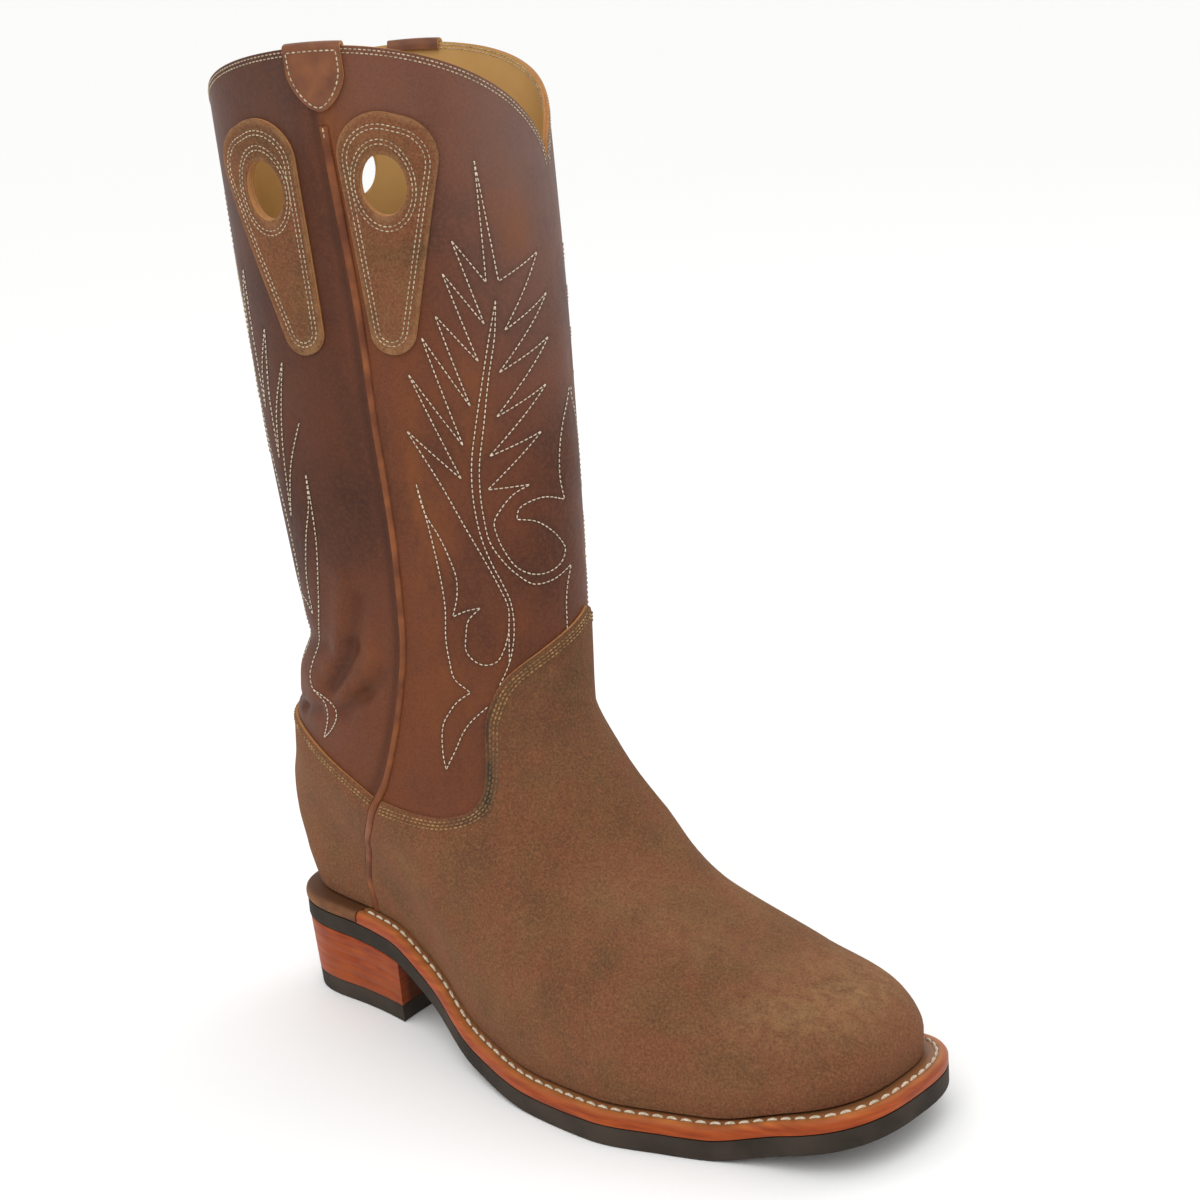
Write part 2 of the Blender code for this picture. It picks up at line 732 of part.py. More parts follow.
OVAL = [
    (HOLE_WIDTH / 2 * math.cos(angle), HOLE_TALL / 2 * math.sin(angle))
    for angle in np.arange(0, 2 * math.pi, 2 * math.pi / 24)
]
for side, hand in ((-1, "lateral"), (1, "medial")):
    for forward, where in ((1, "front"), (-1, "back")):
        seam_level_here = level_at(float(seam_line(0.9)), HOLE_HEIGHT)
        seam = float(seam_line(seam_level_here))
        place = half_turn(seam + girth_step(seam, seam_level_here, HOLE_OFFSETS[where]) * forward, side)
        level = level_at(place, HOLE_HEIGHT)
        frame = local_frame(place, level)
        name = "finger_hole_patch_" + hand + "_" + where
        hole = prism("hole_" + hand + "_" + where, OVAL, -12.0, 12.0, frame)
        # The girth direction runs forward on the outer half and backward on the inner half.
        outline = hull_of_circles(PATCH_CIRCLES, forward * -side)
        teardrop = prism("teardrop_" + hand + "_" + where, outline, -8.0, 14.0, frame)
        middle = int(round(place * AROUND_STEPS / 2))
        sheet = facet_sheet(
            name, middle - 8, middle + 8, 0.58, 1.0, GAP, GAP + PATCH_THICKNESS, rough_leather
        )
        cut(sheet, teardrop, "INTERSECT")
        cut(sheet, hole, "DIFFERENCE")
        cut(upper, hole, "DIFFERENCE")

# Pull straps: leather tabs folded over the collar at both side seams.
strap_leather = finish("strap_leather", (0.25, 0.095, 0.04), 0.5)
for side, hand in ((-1, "lateral"), (1, "medial")):
    base_rows = []
    face_rows = []
    for across in np.sin(np.linspace(-math.pi / 2, math.pi / 2, 9)):
        seam = float(seam_line(1.0))
        place = half_turn(seam + girth_step(seam, 1.0, STRAP_HALF * across), side)
        rounded = max(0.0, 1 - abs(across) ** STRAP_ROUNDING) ** (1 / STRAP_ROUNDING)
        drop = STRAP_DROP * (STRAP_STRAIGHT + (1 - STRAP_STRAIGHT) * rounded)
        top_z = wall(place, 1.0)[2]
        base = []
        face = []
        for height in np.linspace(top_z - drop, top_z - 1.0, 4):
            level = level_at(place, height)
            base.append(raised(place, level, GAP + 0.1))
            face.append(raised(place, level, GAP + 0.1 + STRAP_THICKNESS))
        edge = wall(place, 1.0)
        out = outward(place, 1.0)
        lift = np.array([0.0, 0.0, 1.0])
        for turn in np.linspace(0.15, 0.85, 5):
            reach = math.cos(math.pi * turn)
            rise = math.sin(math.pi * turn)
            middle = edge - out * WALL / 2
            base.append(middle + out * (WALL / 2 + GAP + 0.1) * reach + lift * STRAP_FOLD * rise)
            face.append(
                middle + out * (WALL / 2 + GAP + 0.1 + STRAP_THICKNESS) * reach
                + lift * (STRAP_FOLD + STRAP_THICKNESS) * rise
            )
        for height in (top_z - 1.0, top_z - STRAP_TUCK):
            level = level_at(place, height)
            base.append(raised(place, level, -WALL - GAP - 0.2))
            face.append(raised(place, level, -WALL - GAP - 0.2 - STRAP_THICKNESS))
        base_rows.append(base)
        face_rows.append(face)
    thick_sheet("pull_strap_" + hand, base_rows, face_rows, strap_leather)
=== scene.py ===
import math

import bmesh
import bpy
import numpy as np
from mathutils import Matrix


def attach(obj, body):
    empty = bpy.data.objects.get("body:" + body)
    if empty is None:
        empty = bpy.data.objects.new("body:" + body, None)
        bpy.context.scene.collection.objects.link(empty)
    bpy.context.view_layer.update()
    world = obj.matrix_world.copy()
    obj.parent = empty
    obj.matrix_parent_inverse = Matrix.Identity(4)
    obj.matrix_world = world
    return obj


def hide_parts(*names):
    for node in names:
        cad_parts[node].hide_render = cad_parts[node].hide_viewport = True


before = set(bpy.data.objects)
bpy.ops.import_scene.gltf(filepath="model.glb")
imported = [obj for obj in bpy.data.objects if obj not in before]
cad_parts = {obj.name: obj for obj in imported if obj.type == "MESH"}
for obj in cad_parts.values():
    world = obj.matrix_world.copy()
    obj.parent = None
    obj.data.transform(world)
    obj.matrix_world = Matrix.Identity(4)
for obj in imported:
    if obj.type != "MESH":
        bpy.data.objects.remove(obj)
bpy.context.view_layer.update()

# Outsole: one sheet of black rubber cut to the outline of the last, arched at the waist and sprung at the
# toe. It is cemented under the welt and trimmed flush with it, so its edge is matt and finely scored.
MM = 0.001
FRAME_CENTRE = np.array([154.3, 6.2, 0.0])
SOLE_LENGTH = 312.0
SOLE_OUTLINE = [
    # share of the length, lateral edge, medial edge
    (0.00, 28.0, 36.0),
    (0.12, 23.5, 40.0),
    (0.30, 31.0, 33.0),
    (0.42, 44.5, 30.0),
    (0.55, 55.0, 38.0),
    (0.66, 57.5, 50.0),
    (0.76, 50.0, 57.5),
    (0.88, 38.0, 54.0),
    (1.00, 31.0, 44.5),
]
HEEL_ROUNDING = 38.0
HEEL_POWER = 2.1
TOE_ROUNDING = 33.0
TOE_POWER = 2.8
SOLE_LINE = [
    # share of the length, tread height, rubber thickness
    (0.00, 34.5, 7.4),
    (0.22, 30.8, 7.4),
    (0.32, 19.0, 7.4),
    (0.44, 4.8, 7.6),
    (0.58, 0.0, 7.8),
    (0.70, 0.0, 8.0),
    (0.80, 0.0, 8.0),
    (0.90, 6.6, 8.0),
    (1.00, 13.4, 7.8),
]
SOLE_BEVEL = 0.8
BEVEL_POINTS = 4
SOLE_ACROSS = (0.2, 0.4, 0.6, 0.8)
SOLE_RINGS = 180
SOLE_TIP_ANGLE = 0.03
SHARP_EDGE = math.radians(42)


def bend(k, span, start, end, slope_before, slope_after):
    """Smooth curve between two points with known slopes, at a share k of the span between them."""
    ends = start * (1 + 2 * k) * (1 - k) ** 2 + end * k * k * (3 - 2 * k)
    return ends + span * (slope_before * k * (1 - k) ** 2 + slope_after * k * k * (k - 1))


def monotone(xs, ys):
    """Smooth curve through the rows of a table that never overshoots between them."""
    xs = np.asarray(xs, float)
    ys = np.asarray(ys, float)
    step = np.diff(xs)
    rise = np.diff(ys) / step
    slope = np.zeros(len(xs))
    turn = rise[:-1] * rise[1:] > 0
    before = np.where(turn, rise[:-1], 1.0)
    after = np.where(turn, rise[1:], 1.0)
    w1 = 2 * step[1:] + step[:-1]
    w2 = step[1:] + 2 * step[:-1]
    slope[1:-1] = np.where(turn, (w1 + w2) / (w1 / before + w2 / after), 0.0)
    slope[0] = rise[0]
    slope[-1] = rise[-1]

    def at(x):
        x = np.clip(np.asarray(x, float), xs[0], xs[-1])
        i = np.clip(np.searchsorted(xs, x, side="right") - 1, 0, len(xs) - 2)
        k = (x - xs[i]) / step[i]
        return bend(k, step[i], ys[i], ys[i + 1], slope[i], slope[i + 1])

    return at


def curves(table):
    """A smooth curve over the first column of a table for each of its other columns."""
    first, *others = zip(*table)
    return [monotone(first, column) for column in others]


lateral_edge, medial_edge = curves(SOLE_OUTLINE)
tread_line, rubber_line = curves(SOLE_LINE)


def tread(x):
    """Height of the tread at a distance forward."""
    return tread_line(np.asarray(x) / SOLE_LENGTH)


def rubber_top(x):
    """Height of the outsole's upper face."""
    return tread(x) + rubber_line(np.asarray(x) / SOLE_LENGTH)


def end_round(distance, reach, power):
    """Share of the full width at a distance from a rounded end."""
    q = np.clip(1 - distance / reach, 0, 1)
    return np.clip(1 - q ** power, 0, 1) ** (1 / power)


def footprint(x, side, start, end, inset):
    """Edge of the sole outline drawn between a start and an end along X, moved in by an inset."""
    share = x / SOLE_LENGTH
    centre = (medial_edge(share) - lateral_edge(share)) / 2
    half = (medial_edge(share) + lateral_edge(share)) / 2 - inset
    ends = end_round(x - start, HEEL_ROUNDING, HEEL_POWER) * end_round(end - x, TOE_ROUNDING, TOE_POWER)
    return centre + side * half * ends


def linear(colour):
    """An sRGB hex colour as linear red, green, blue and alpha."""
    parts = [int(colour[i:i + 2], 16) / 255 for i in (1, 3, 5)]
    return tuple(c / 12.92 if c <= 0.04045 else ((c + 0.055) / 1.055) ** 2.4 for c in parts) + (1.0,)


def per_mm(size):
    """Scale of a pattern whose features are this many millimetres across."""
    return 1.0 / (size * MM)


def wire(tree, made, inputs):
    """Sets a node's inputs to numbers, hex colours or other nodes' outputs."""
    for name, value in inputs.items():
        socket = made.inputs[name] if isinstance(name, int) else next(
            entry for entry in made.inputs if entry.name == name and entry.enabled
        )
        if isinstance(value, bpy.types.NodeSocket):
            tree.links.new(value, socket)
        else:
            socket.default_value = linear(value) if isinstance(value, str) else value


def node(tree, kind, inputs, out=None, **settings):
    """Adds one node with its settings and inputs, and gives the output named, or else its first."""
    made = tree.nodes.new("ShaderNode" + kind)
    for name, value in settings.items():
        setattr(made, name, value)
    wire(tree, made, inputs)
    return made.outputs[out] if out else next(entry for entry in made.outputs if entry.enabled)


def start_material(name, colour, roughness):
    """A material with a plain colour and roughness, and what its patterns are built with."""
    material = bpy.data.materials.new(name)
    material.use_nodes = True
    tree = material.node_tree
    shader = tree.nodes["Principled BSDF"]
    wire(tree, shader, {"Base Color": colour, "Roughness": roughness})
    return material, tree, shader, node(tree, "TexCoord", {}, "Object")


def add_mesh(name, points, faces, *materials):
    """A mesh object in the boot's frame, with its faces turned outwards."""
    mesh = bpy.data.meshes.new(name)
    mesh.from_pydata(((np.asarray(points) - FRAME_CENTRE) * MM).tolist(), [], faces)
    shape = bmesh.new()
    shape.from_mesh(mesh)
    bmesh.ops.recalc_face_normals(shape, faces=shape.faces)
    shape.to_mesh(mesh)
    shape.free()
    for material in materials:
        mesh.materials.append(material)
    mesh.shade_smooth()
    mesh.set_sharp_from_angle(angle=SHARP_EDGE)
    piece = bpy.data.objects.new(name, mesh)
    bpy.context.scene.collection.objects.link(piece)
    return piece


def paint(piece, name, values):
    """A value for each point of a piece, or one for all, which its material reads."""
    layer = piece.data.attributes.new(name, "FLOAT", "POINT")
    values = np.broadcast_to(np.asarray(values, np.float32), len(layer.data))
    layer.data.foreach_set("value", np.ascontiguousarray(values))


def tube_faces(rows, count):
    """Numbers of the points of a tube, ring by ring, and the faces between its rings."""
    index = np.arange(rows * count).reshape(rows, count)
    ahead = np.roll(index, -1, axis=1)
    return index, np.stack([index[:-1], ahead[:-1], ahead[1:], index[1:]], -1).reshape(-1, 4)


def loft(rings):
    """Points and faces of a closed solid through rings of equal size."""
    rings = np.asarray(rings, float)
    index, quads = tube_faces(*rings.shape[:2])
    return rings.reshape(-1, 3), quads.tolist() + [index[0, ::-1].tolist(), index[-1].tolist()]


# Trimmed black rubber: matt, dark grey with a brown cast, scored along the edge by the trimming wheel.
black_rubber, tree, shader, place = start_material("black_rubber_trimmed", "#39322D", 0.82)
along = node(tree, "Mapping", {"Vector": place, "Scale": (1.0, 1.0, 6.0)})
scoring = node(tree, "TexNoise", {"Vector": along, "Scale": per_mm(3.0), "Detail": 5.0})
dust = node(tree, "TexNoise", {"Vector": place, "Scale": per_mm(26.0), "Detail": 4.0})
dusty = node(tree, "MapRange", {"Value": dust, "From Min": 0.4, "From Max": 0.75})
tone = node(tree, "Mix", {"Factor": dusty, "A": "#2E2721", "B": "#443A31"}, data_type="RGBA")
bump = node(tree, "Bump", {"Strength": 0.35, "Distance": 0.0004, "Height": scoring})
wire(tree, shader, {"Specular IOR Level": 0.2, "Base Color": tone, "Normal": bump})

sole_rings = []
for x in SOLE_LENGTH * (1 - np.cos(np.linspace(SOLE_TIP_ANGLE, math.pi - SOLE_TIP_ANGLE, SOLE_RINGS))) / 2:
    outer = float(footprint(x, -1, 0.0, SOLE_LENGTH, 0.0))
    inner = float(footprint(x, 1, 0.0, SOLE_LENGTH, 0.0))
    edge = min(SOLE_BEVEL, (inner - outer) / 6)
    low = float(tread(x))
    high = float(rubber_top(x))
    turn = np.linspace(0, math.pi / 2, BEVEL_POINTS)
    ring = [(x, outer + edge * (1 - math.sin(a)), low + edge * (1 - math.cos(a))) for a in turn]
    ring += [(x, outer, (low + high) / 2), (x, outer, high), (x, inner, high), (x, inner, (low + high) / 2)]
    ring += [(x, inner - edge * (1 - math.sin(a)), low + edge * (1 - math.cos(a))) for a in turn[::-1]]
    ring += [(x, inner + (outer - inner) * share, low) for share in SOLE_ACROSS]
    sole_rings.append(ring)
outsole = add_mesh("outsole_rubber", *loft(sole_rings), black_rubber)
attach(outsole, "root")
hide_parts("outsole")

# Heel: lifts of sole leather stacked, nailed and trimmed to a slight taper, dyed orange-brown and waxed.
# A black rubber cap closes it at the floor.
GAP = 0.3
HEEL_BREAST = 75.0
CAP_THICKNESS = 8.0
HEEL_TAPER = 3.5
HEEL_BACK_TAPER = 2.0
BREAST_SETBACK = 3.0
BREAST_HOLLOW = 3.0
BREAST_POINTS = 17
HEEL_INSET = 0.4
HEEL_EDGE_POINTS = 121
HEEL_LIFTS = 5
LIFT_GROOVE = 0.12
LIFT_RINGS = [
    # share of a lift's height, depth of the groove
    (0.0, LIFT_GROOVE),
    (0.04, 0.02),
    (0.5, 0.0),
    (0.96, 0.02),
]
LIFT_SHADE = 0.5
JOINT_SHADE = 0.32
LAST_TONE = 0.2
LAST_JOINT = 0.4
# The breast is painted darker, as painted shade under the arch.
BREAST_SHADE = 0.8
STACK_TAPER = 0.75
CAP_RINGS = [
    # share of the taper, groove, height above the floor
    (0.77, 0.25, CAP_THICKNESS),
    (0.77, 0.0, CAP_THICKNESS - 0.3),
    (0.9, 0.0, 4.0),
    (0.98, 0.0, 0.8),
    (1.05, 0.0, 0.25),
    (1.2, 0.0, 0.0),
]
NUDGE = 1e-3


def halves(around):
    """Side of the boot (-1 outer, 1 inner) and share from back to front, for a turn of 2 round the boot."""
    around = np.mod(np.asarray(around, float), 2.0)
    return np.where(around <= 1.0, -1.0, 1.0), np.where(around <= 1.0, around, 2.0 - around)


def rim(around):
    """Edge of the sole in plan."""
    side, share = halves(around)
    x = SOLE_LENGTH * (1 - np.cos(math.pi * share)) / 2
    return np.stack([x, footprint(x, side, 0.0, SOLE_LENGTH, 0.0)], -1)


def unit(vectors):
    """Vectors of the same directions, each one long."""
    return vectors / np.linalg.norm(vectors, axis=-1, keepdims=True)


def rim_inset(around, inset):
    """Points inside the sole's edge, measured square to it."""
    along = unit(rim(np.asarray(around) + NUDGE) - rim(np.asarray(around) - NUDGE))
    outward = np.stack([along[..., 1], -along[..., 0]], -1)
    return rim(around) - outward * np.asarray(inset)[..., None]


def around_at(x):
    """Place round the boot where the sole's outer edge reaches x."""
    return math.acos(1 - 2 * x / SOLE_LENGTH) / math.pi


breast_around = around_at(HEEL_BREAST)


def heel_ring(depth, groove, height):
    """Outline of the heel at a share of its depth; height is a number or a function of x."""
    places = np.linspace(-breast_around, breast_around, HEEL_EDGE_POINTS)
    points = rim_inset(places, HEEL_TAPER * depth + HEEL_INSET + groove)
    front = HEEL_BREAST - BREAST_SETBACK * depth - groove
    back = points[:, 0].min() + (HEEL_BACK_TAPER - HEEL_TAPER) * depth
    spread = (points[:, 0] - points[:, 0].min()) / (points[:, 0].max() - points[:, 0].min())
    points[:, 0] = back + (front - back) * spread
    across = np.linspace(0, 1, BREAST_POINTS + 2)[1:-1]
    hollow = BREAST_HOLLOW * 4 * across * (1 - across)
    breast = np.stack([front - hollow, points[-1, 1] + (points[0, 1] - points[-1, 1]) * across], -1)
    plan = np.concatenate([points, breast])
    z = height(plan[:, 0]) if callable(height) else np.full(len(plan), height)
    return np.column_stack([plan, z])


# Stacked heel leather: cut edges of thick vegetable-tanned lifts, dyed orange-brown and burnished with wax.
# Each lift takes the dye a little differently and shows fine strokes of the rasp. The breast is painted
# darker:
# painted shade under the arch.
heel_leather, tree, shader, place = start_material("stacked_heel_leather_waxed", "#A0512C", 0.45)
lift = node(tree, "Attribute", {}, "Fac", attribute_name="lift")
joint = node(tree, "Attribute", {}, "Fac", attribute_name="joint")
breast = node(tree, "Attribute", {}, "Fac", attribute_name="breast")
stroke = node(tree, "Mapping", {"Vector": place, "Scale": (0.2, 0.2, 1.6)})
rasp = node(tree, "TexNoise", {"Vector": stroke, "Scale": per_mm(3.0), "Detail": 5.0})
patchy = node(tree, "TexNoise", {"Vector": place, "Scale": per_mm(14.0), "Detail": 3.0})
mixed = node(tree, "Math", {0: rasp, 1: patchy}, operation="ADD")
strength = node(tree, "MapRange", {"Value": mixed, "From Min": 0.75, "From Max": 1.25})
body = node(tree, "Mix", {"Factor": strength, "A": "#7A2C0C", "B": "#9B4414"}, data_type="RGBA")
tone = node(tree, "Mix", {"Factor": lift, "A": body, "B": "#8F4820"}, data_type="RGBA")
lined = node(tree, "Mix", {"Factor": joint, "A": tone, "B": "#48200F"}, data_type="RGBA")
# Painted shade on the breast.
breast_shaded = node(tree, "Mix", {"Factor": breast, "A": lined, "B": "#42200F"}, data_type="RGBA")
bump = node(tree, "Bump", {"Strength": 0.25, "Distance": 0.0003, "Height": rasp})
wire(tree, shader, {"Specular IOR Level": 0.14, "Base Color": breast_shaded, "Normal": bump})


def stack_ring(share, groove):
    """Ring of the stack from the outsole (0) to the cap (1)."""
    def height(x):
        top = tread(x) - GAP
        return top + (CAP_THICKNESS + GAP - top) * share
    return heel_ring(share * STACK_TAPER, groove, height)


stack_rings = []
lift_tone = []
lift_joint = []
for i in range(HEEL_LIFTS):
    for share, groove in LIFT_RINGS:
        stack_rings.append(stack_ring((i + share) / HEEL_LIFTS, groove))
        lift_tone.append(LIFT_SHADE * ((i * 3) % HEEL_LIFTS) / HEEL_LIFTS)
        lift_joint.append(JOINT_SHADE if share == 0.0 and i else 0.0)
stack_rings.append(stack_ring(1.0, LIFT_GROOVE))
lift_tone.append(LAST_TONE)
lift_joint.append(LAST_JOINT)
heel_stack = add_mesh("heel_stack_lifts", *loft(stack_rings), heel_leather)
paint(heel_stack, "lift", np.repeat(lift_tone, len(stack_rings[0])))
paint(heel_stack, "joint", np.repeat(lift_joint, len(stack_rings[0])))
on_breast = np.arange(len(stack_rings[0])) > HEEL_EDGE_POINTS
# Painted shade on the breast.
paint(heel_stack, "breast", np.tile(BREAST_SHADE * on_breast, len(stack_rings)))
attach(heel_stack, "root")
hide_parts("heel_stack")

heel_cap = add_mesh("heel_cap_rubber", *loft([heel_ring(*row) for row in CAP_RINGS]), black_rubber)
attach(heel_cap, "root")
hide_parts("heel_cap")

# Welt: a strip of thick leather sewn to the upper round the forefoot and waist and lockstitched to the sole.
# Its edge is trimmed, dyed orange and waxed; the top is tan, bevelled, with thick white thread in a groove.
WELT_WIDTH = 14.0
WELT_THICKNESS = 5.2
WELT_START = 48.0
WELT_SEAM = 4.3
WELT_PROFILE = [
    # inset from the sole's edge, height in shares of the thickness, share of edge dye, darkening towards the
    # upper
    (0.5, 0.00, 1.0, 0.0), (0.12, 0.04, 1.0, 0.0), (0.0, 0.14, 1.0, 0.0), (0.0, 0.36, 1.0, 0.0),
    (0.0, 0.58, 1.0, 0.0), (0.15, 0.68, 0.9, 0.0), (0.9, 0.90, 0.6, 0.0), (1.5, 0.98, 0.3, 0.0),
    (2.4, 1.00, 0.0, 0.0), (3.4, 1.00, 0.0, 0.2), (3.8, 0.96, 0.0, 0.6), (4.3, 0.90, 0.0, 0.9),
    (4.8, 0.96, 0.0, 0.8), (5.3, 1.00, 0.0, 0.7), (7.6, 1.00, 0.0, 1.0), (WELT_WIDTH, 1.00, 0.0, 1.0),
    (WELT_WIDTH, 0.00, 0.0, 1.0),
]
WELT_RINGS = 420
WELT_STITCH = 4.6
WELT_STITCH_GAP = 1.1
WELT_THREAD = 0.62
WELT_THREAD_SEAT = 0.96
THREAD_SIDES = 6
THREAD_PROFILE = [
    # along the stitch, thickness, rise above the leather in thread radii
    (-1.00, 0.30, -0.75),
    (-0.78, 0.82, 0.05),
    (-0.25, 1.00, 0.45),
    (0.25, 1.00, 0.45),
    (0.78, 0.82, 0.05),
    (1.00, 0.30, -0.75),
]


def strip(arounds, profile):
    """Rings of a strip that follows the sole's edge, with a profile measured in from the edge."""
    rings = []
    for place in arounds:
        flat = np.array([rim_inset(place, row[0]) for row in profile])
        rise = np.array([row[1] for row in profile]) * WELT_THICKNESS
        rings.append(np.column_stack([flat, rubber_top(flat[:, 0]) + GAP + rise]))
    return rings


def walk(path):
    """Distance along a path to each of its points."""
    return np.concatenate([[0.0], np.cumsum(np.linalg.norm(np.diff(path, axis=0), axis=1))])


def read_at(distance, walked, rows):
    """Rows given along a path, read at distances between its points."""
    return np.stack([np.interp(distance, walked, column) for column in rows.T], -1)


def sew(path, outs, length, gap):
    """Starts, ends and outward directions of stitches laid along a path."""
    walked = walk(path)
    count = max(1, int(round(walked[-1] / (length + gap))))
    pitch = walked[-1] / count
    gap = gap * pitch / (length + gap)
    begin = np.arange(count) * pitch + gap / 2
    finish = begin + pitch - gap
    ups = read_at((begin + finish) / 2, walked, outs)
    return read_at(begin, walked, path), read_at(finish, walked, path), unit(ups)


def add_thread(name, runs, radius, material):
    """One mesh of all the stitches in several runs."""
    starts, ends, ups = (np.concatenate(part) for part in zip(*runs))
    half = (ends - starts) / 2
    middle = (starts + ends) / 2
    across = unit(np.cross(half, ups))
    rings = []
    for along, thick, rise in THREAD_PROFILE:
        for i in range(THREAD_SIDES):
            angle = 2 * math.pi * i / THREAD_SIDES
            lift = radius * (rise + thick * math.sin(angle))
            rings.append(middle + half * along + ups * lift + across * (radius * thick * math.cos(angle)))
    points = np.stack(rings, 1)
    base, quads = tube_faces(len(THREAD_PROFILE), THREAD_SIDES)
    steps = np.arange(len(points))[:, None, None] * base.size
    faces = (quads[None] + steps).reshape(-1, 4).tolist()
    for end in (base[0, ::-1], base[-1]):
        faces += (end[None] + steps[:, 0]).tolist()
    return add_mesh(name, points.reshape(-1, 3), faces, material)


# Welt leather: tan grain on top, orange dye and wax on the trimmed edge, which shines a little.
welt_leather, tree, shader, place = start_material("welt_leather_dyed_edge", "#A34D22", 0.42)
dyed = node(tree, "Attribute", {}, "Fac", attribute_name="dyed")
stroke = node(tree, "Mapping", {"Vector": place, "Scale": (0.3, 0.3, 2.4)})
streak = node(tree, "TexNoise", {"Vector": stroke, "Scale": per_mm(5.0), "Detail": 7.0})
paler_patches = node(tree, "MapRange", {"Value": streak, "From Min": 0.35, "From Max": 0.7})
edge_tone = node(tree, "Mix", {"Factor": paler_patches, "A": "#843512", "B": "#A54B1B"}, data_type="RGBA")
top_tone = node(tree, "Mix", {"Factor": paler_patches, "A": "#97592F", "B": "#B6713A"}, data_type="RGBA")
tone = node(tree, "Mix", {"Factor": dyed, "A": top_tone, "B": edge_tone}, data_type="RGBA")
darker_by_upper = node(tree, "Attribute", {}, "Fac", attribute_name="darker_by_upper")
# The top is darker from the seam in towards the upper.
darkened_by_upper = node(tree, "Mix", {"Factor": darker_by_upper, "A": tone, "B": "#7C5334"}, data_type="RGBA")
grain = node(tree, "TexNoise", {"Vector": place, "Scale": per_mm(1.2), "Detail": 4.0})
bump = node(tree, "Bump", {"Strength": 0.2, "Distance": 0.0003, "Height": grain})
wire(tree, shader, {"Specular IOR Level": 0.18, "Base Color": darkened_by_upper, "Normal": bump})

strip_start = around_at(WELT_START)
strip_run = np.linalg.norm(rim(strip_start + NUDGE) - rim(strip_start - NUDGE)) / (2 * NUDGE)
strip_gap = 0.5 * GAP / strip_run
welt_places = np.linspace(strip_start + strip_gap, 2 - strip_start - strip_gap, WELT_RINGS)
welt = add_mesh("welt_strip", *loft(strip(welt_places, WELT_PROFILE)), welt_leather)
paint(welt, "dyed", np.tile([row[2] for row in WELT_PROFILE], len(welt_places)))
paint(welt, "darker_by_upper", np.tile([row[3] for row in WELT_PROFILE], len(welt_places)))
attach(welt, "root")
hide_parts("welt")

# White waxed thread: twisted, thick, dulled a little by handling.
white_thread, tree, shader, place = start_material("white_waxed_thread", "#DED6C6", 0.65)
twist = node(tree, "TexNoise", {"Vector": place, "Scale": per_mm(0.9), "Detail": 2.0})
soil = node(tree, "MapRange", {"Value": twist, "From Min": 0.35, "From Max": 0.65})
tone = node(tree, "Mix", {"Factor": soil, "A": "#AE9E85", "B": "#DCCFBA"}, data_type="RGBA")
bump = node(tree, "Bump", {"Strength": 0.5, "Distance": 0.0002, "Height": twist})
wire(tree, shader, {"Base Color": tone, "Normal": bump})

# Natural thread: the finer thread of the upper's seams, greyer and dulled by dye from the leather.
natural_thread, tree, shader, place = start_material("natural_thread", "#B7A88F", 0.75)
twist = node(tree, "TexNoise", {"Vector": place, "Scale": per_mm(3.0), "Detail": 4.0})
soil = node(tree, "MapRange", {"Value": twist, "From Min": 0.35, "From Max": 0.65})
tone = node(tree, "Mix", {"Factor": soil, "A": "#8F7F66", "B": "#C4B498"}, data_type="RGBA")
wire(tree, shader, {"Base Color": tone})

seam_flat = rim_inset(welt_places[2:-2], WELT_SEAM)
seam_height = rubber_top(seam_flat[:, 0]) + GAP + WELT_THICKNESS * WELT_THREAD_SEAT
seam_path = np.column_stack([seam_flat, seam_height])
seam_up = np.tile([0.0, 0.0, 1.0], (len(seam_path), 1))
welt_stitching = add_thread(
    "welt_stitching", [sew(seam_path, seam_up, WELT_STITCH, WELT_STITCH_GAP)], WELT_THREAD, white_thread
)
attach(welt_stitching, "root")

# Heel rand: a strip of dark waxed leather round the heel seat, pegged between the counter and the outsole.
# It meets the two ends of the welt and has no stitching.
RAND_PROFILE = [
    # inset from the sole's edge, height in shares of the thickness, share of edge dye
    (0.6, 0.00, 1.0), (0.1, 0.06, 1.0), (-0.4, 0.22, 1.0), (-0.5, 0.38, 1.0), (-0.5, 0.58, 1.0),
    (-0.2, 0.80, 0.8), (0.5, 0.95, 0.4), (1.4, 1.00, 0.1), (4.0, 1.00, 0.0), (WELT_WIDTH, 1.00, 0.0),
    (WELT_WIDTH, 0.00, 0.0),
]
RAND_RINGS = 160

# Waxed rand leather: brown, with wax clouding the dyed edge paler in places.
rand_leather, tree, shader, place = start_material("rand_leather_waxed", "#5C3A26", 0.6)
dyed = node(tree, "Attribute", {}, "Fac", attribute_name="dyed")
wax = node(tree, "TexNoise", {"Vector": place, "Scale": per_mm(9.0), "Detail": 4.0})
wax_and_sheen = node(tree, "MapRange", {"Value": wax, "From Min": 0.35, "From Max": 0.7})
edge_tone = node(tree, "Mix", {"Factor": wax_and_sheen, "A": "#5E3A22", "B": "#84542C"}, data_type="RGBA")
tone = node(tree, "Mix", {"Factor": dyed, "A": "#57371F", "B": edge_tone}, data_type="RGBA")
bump = node(tree, "Bump", {"Strength": 0.2, "Distance": 0.0003, "Height": wax})
wire(tree, shader, {"Specular IOR Level": 0.2, "Base Color": tone, "Normal": bump})

rand_places = np.linspace(-strip_start + strip_gap, strip_start - strip_gap, RAND_RINGS)
heel_rand = add_mesh("heel_rand_strip", *loft(strip(rand_places, RAND_PROFILE)), rand_leather)
paint(heel_rand, "dyed", np.tile([row[2] for row in RAND_PROFILE], len(rand_places)))
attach(heel_rand, "root")
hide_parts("heel_rand")

# Insole: a plate of natural tan leather that the foot stands on.
# It lies inside the welt and the rand, under the lower edge of the upper.

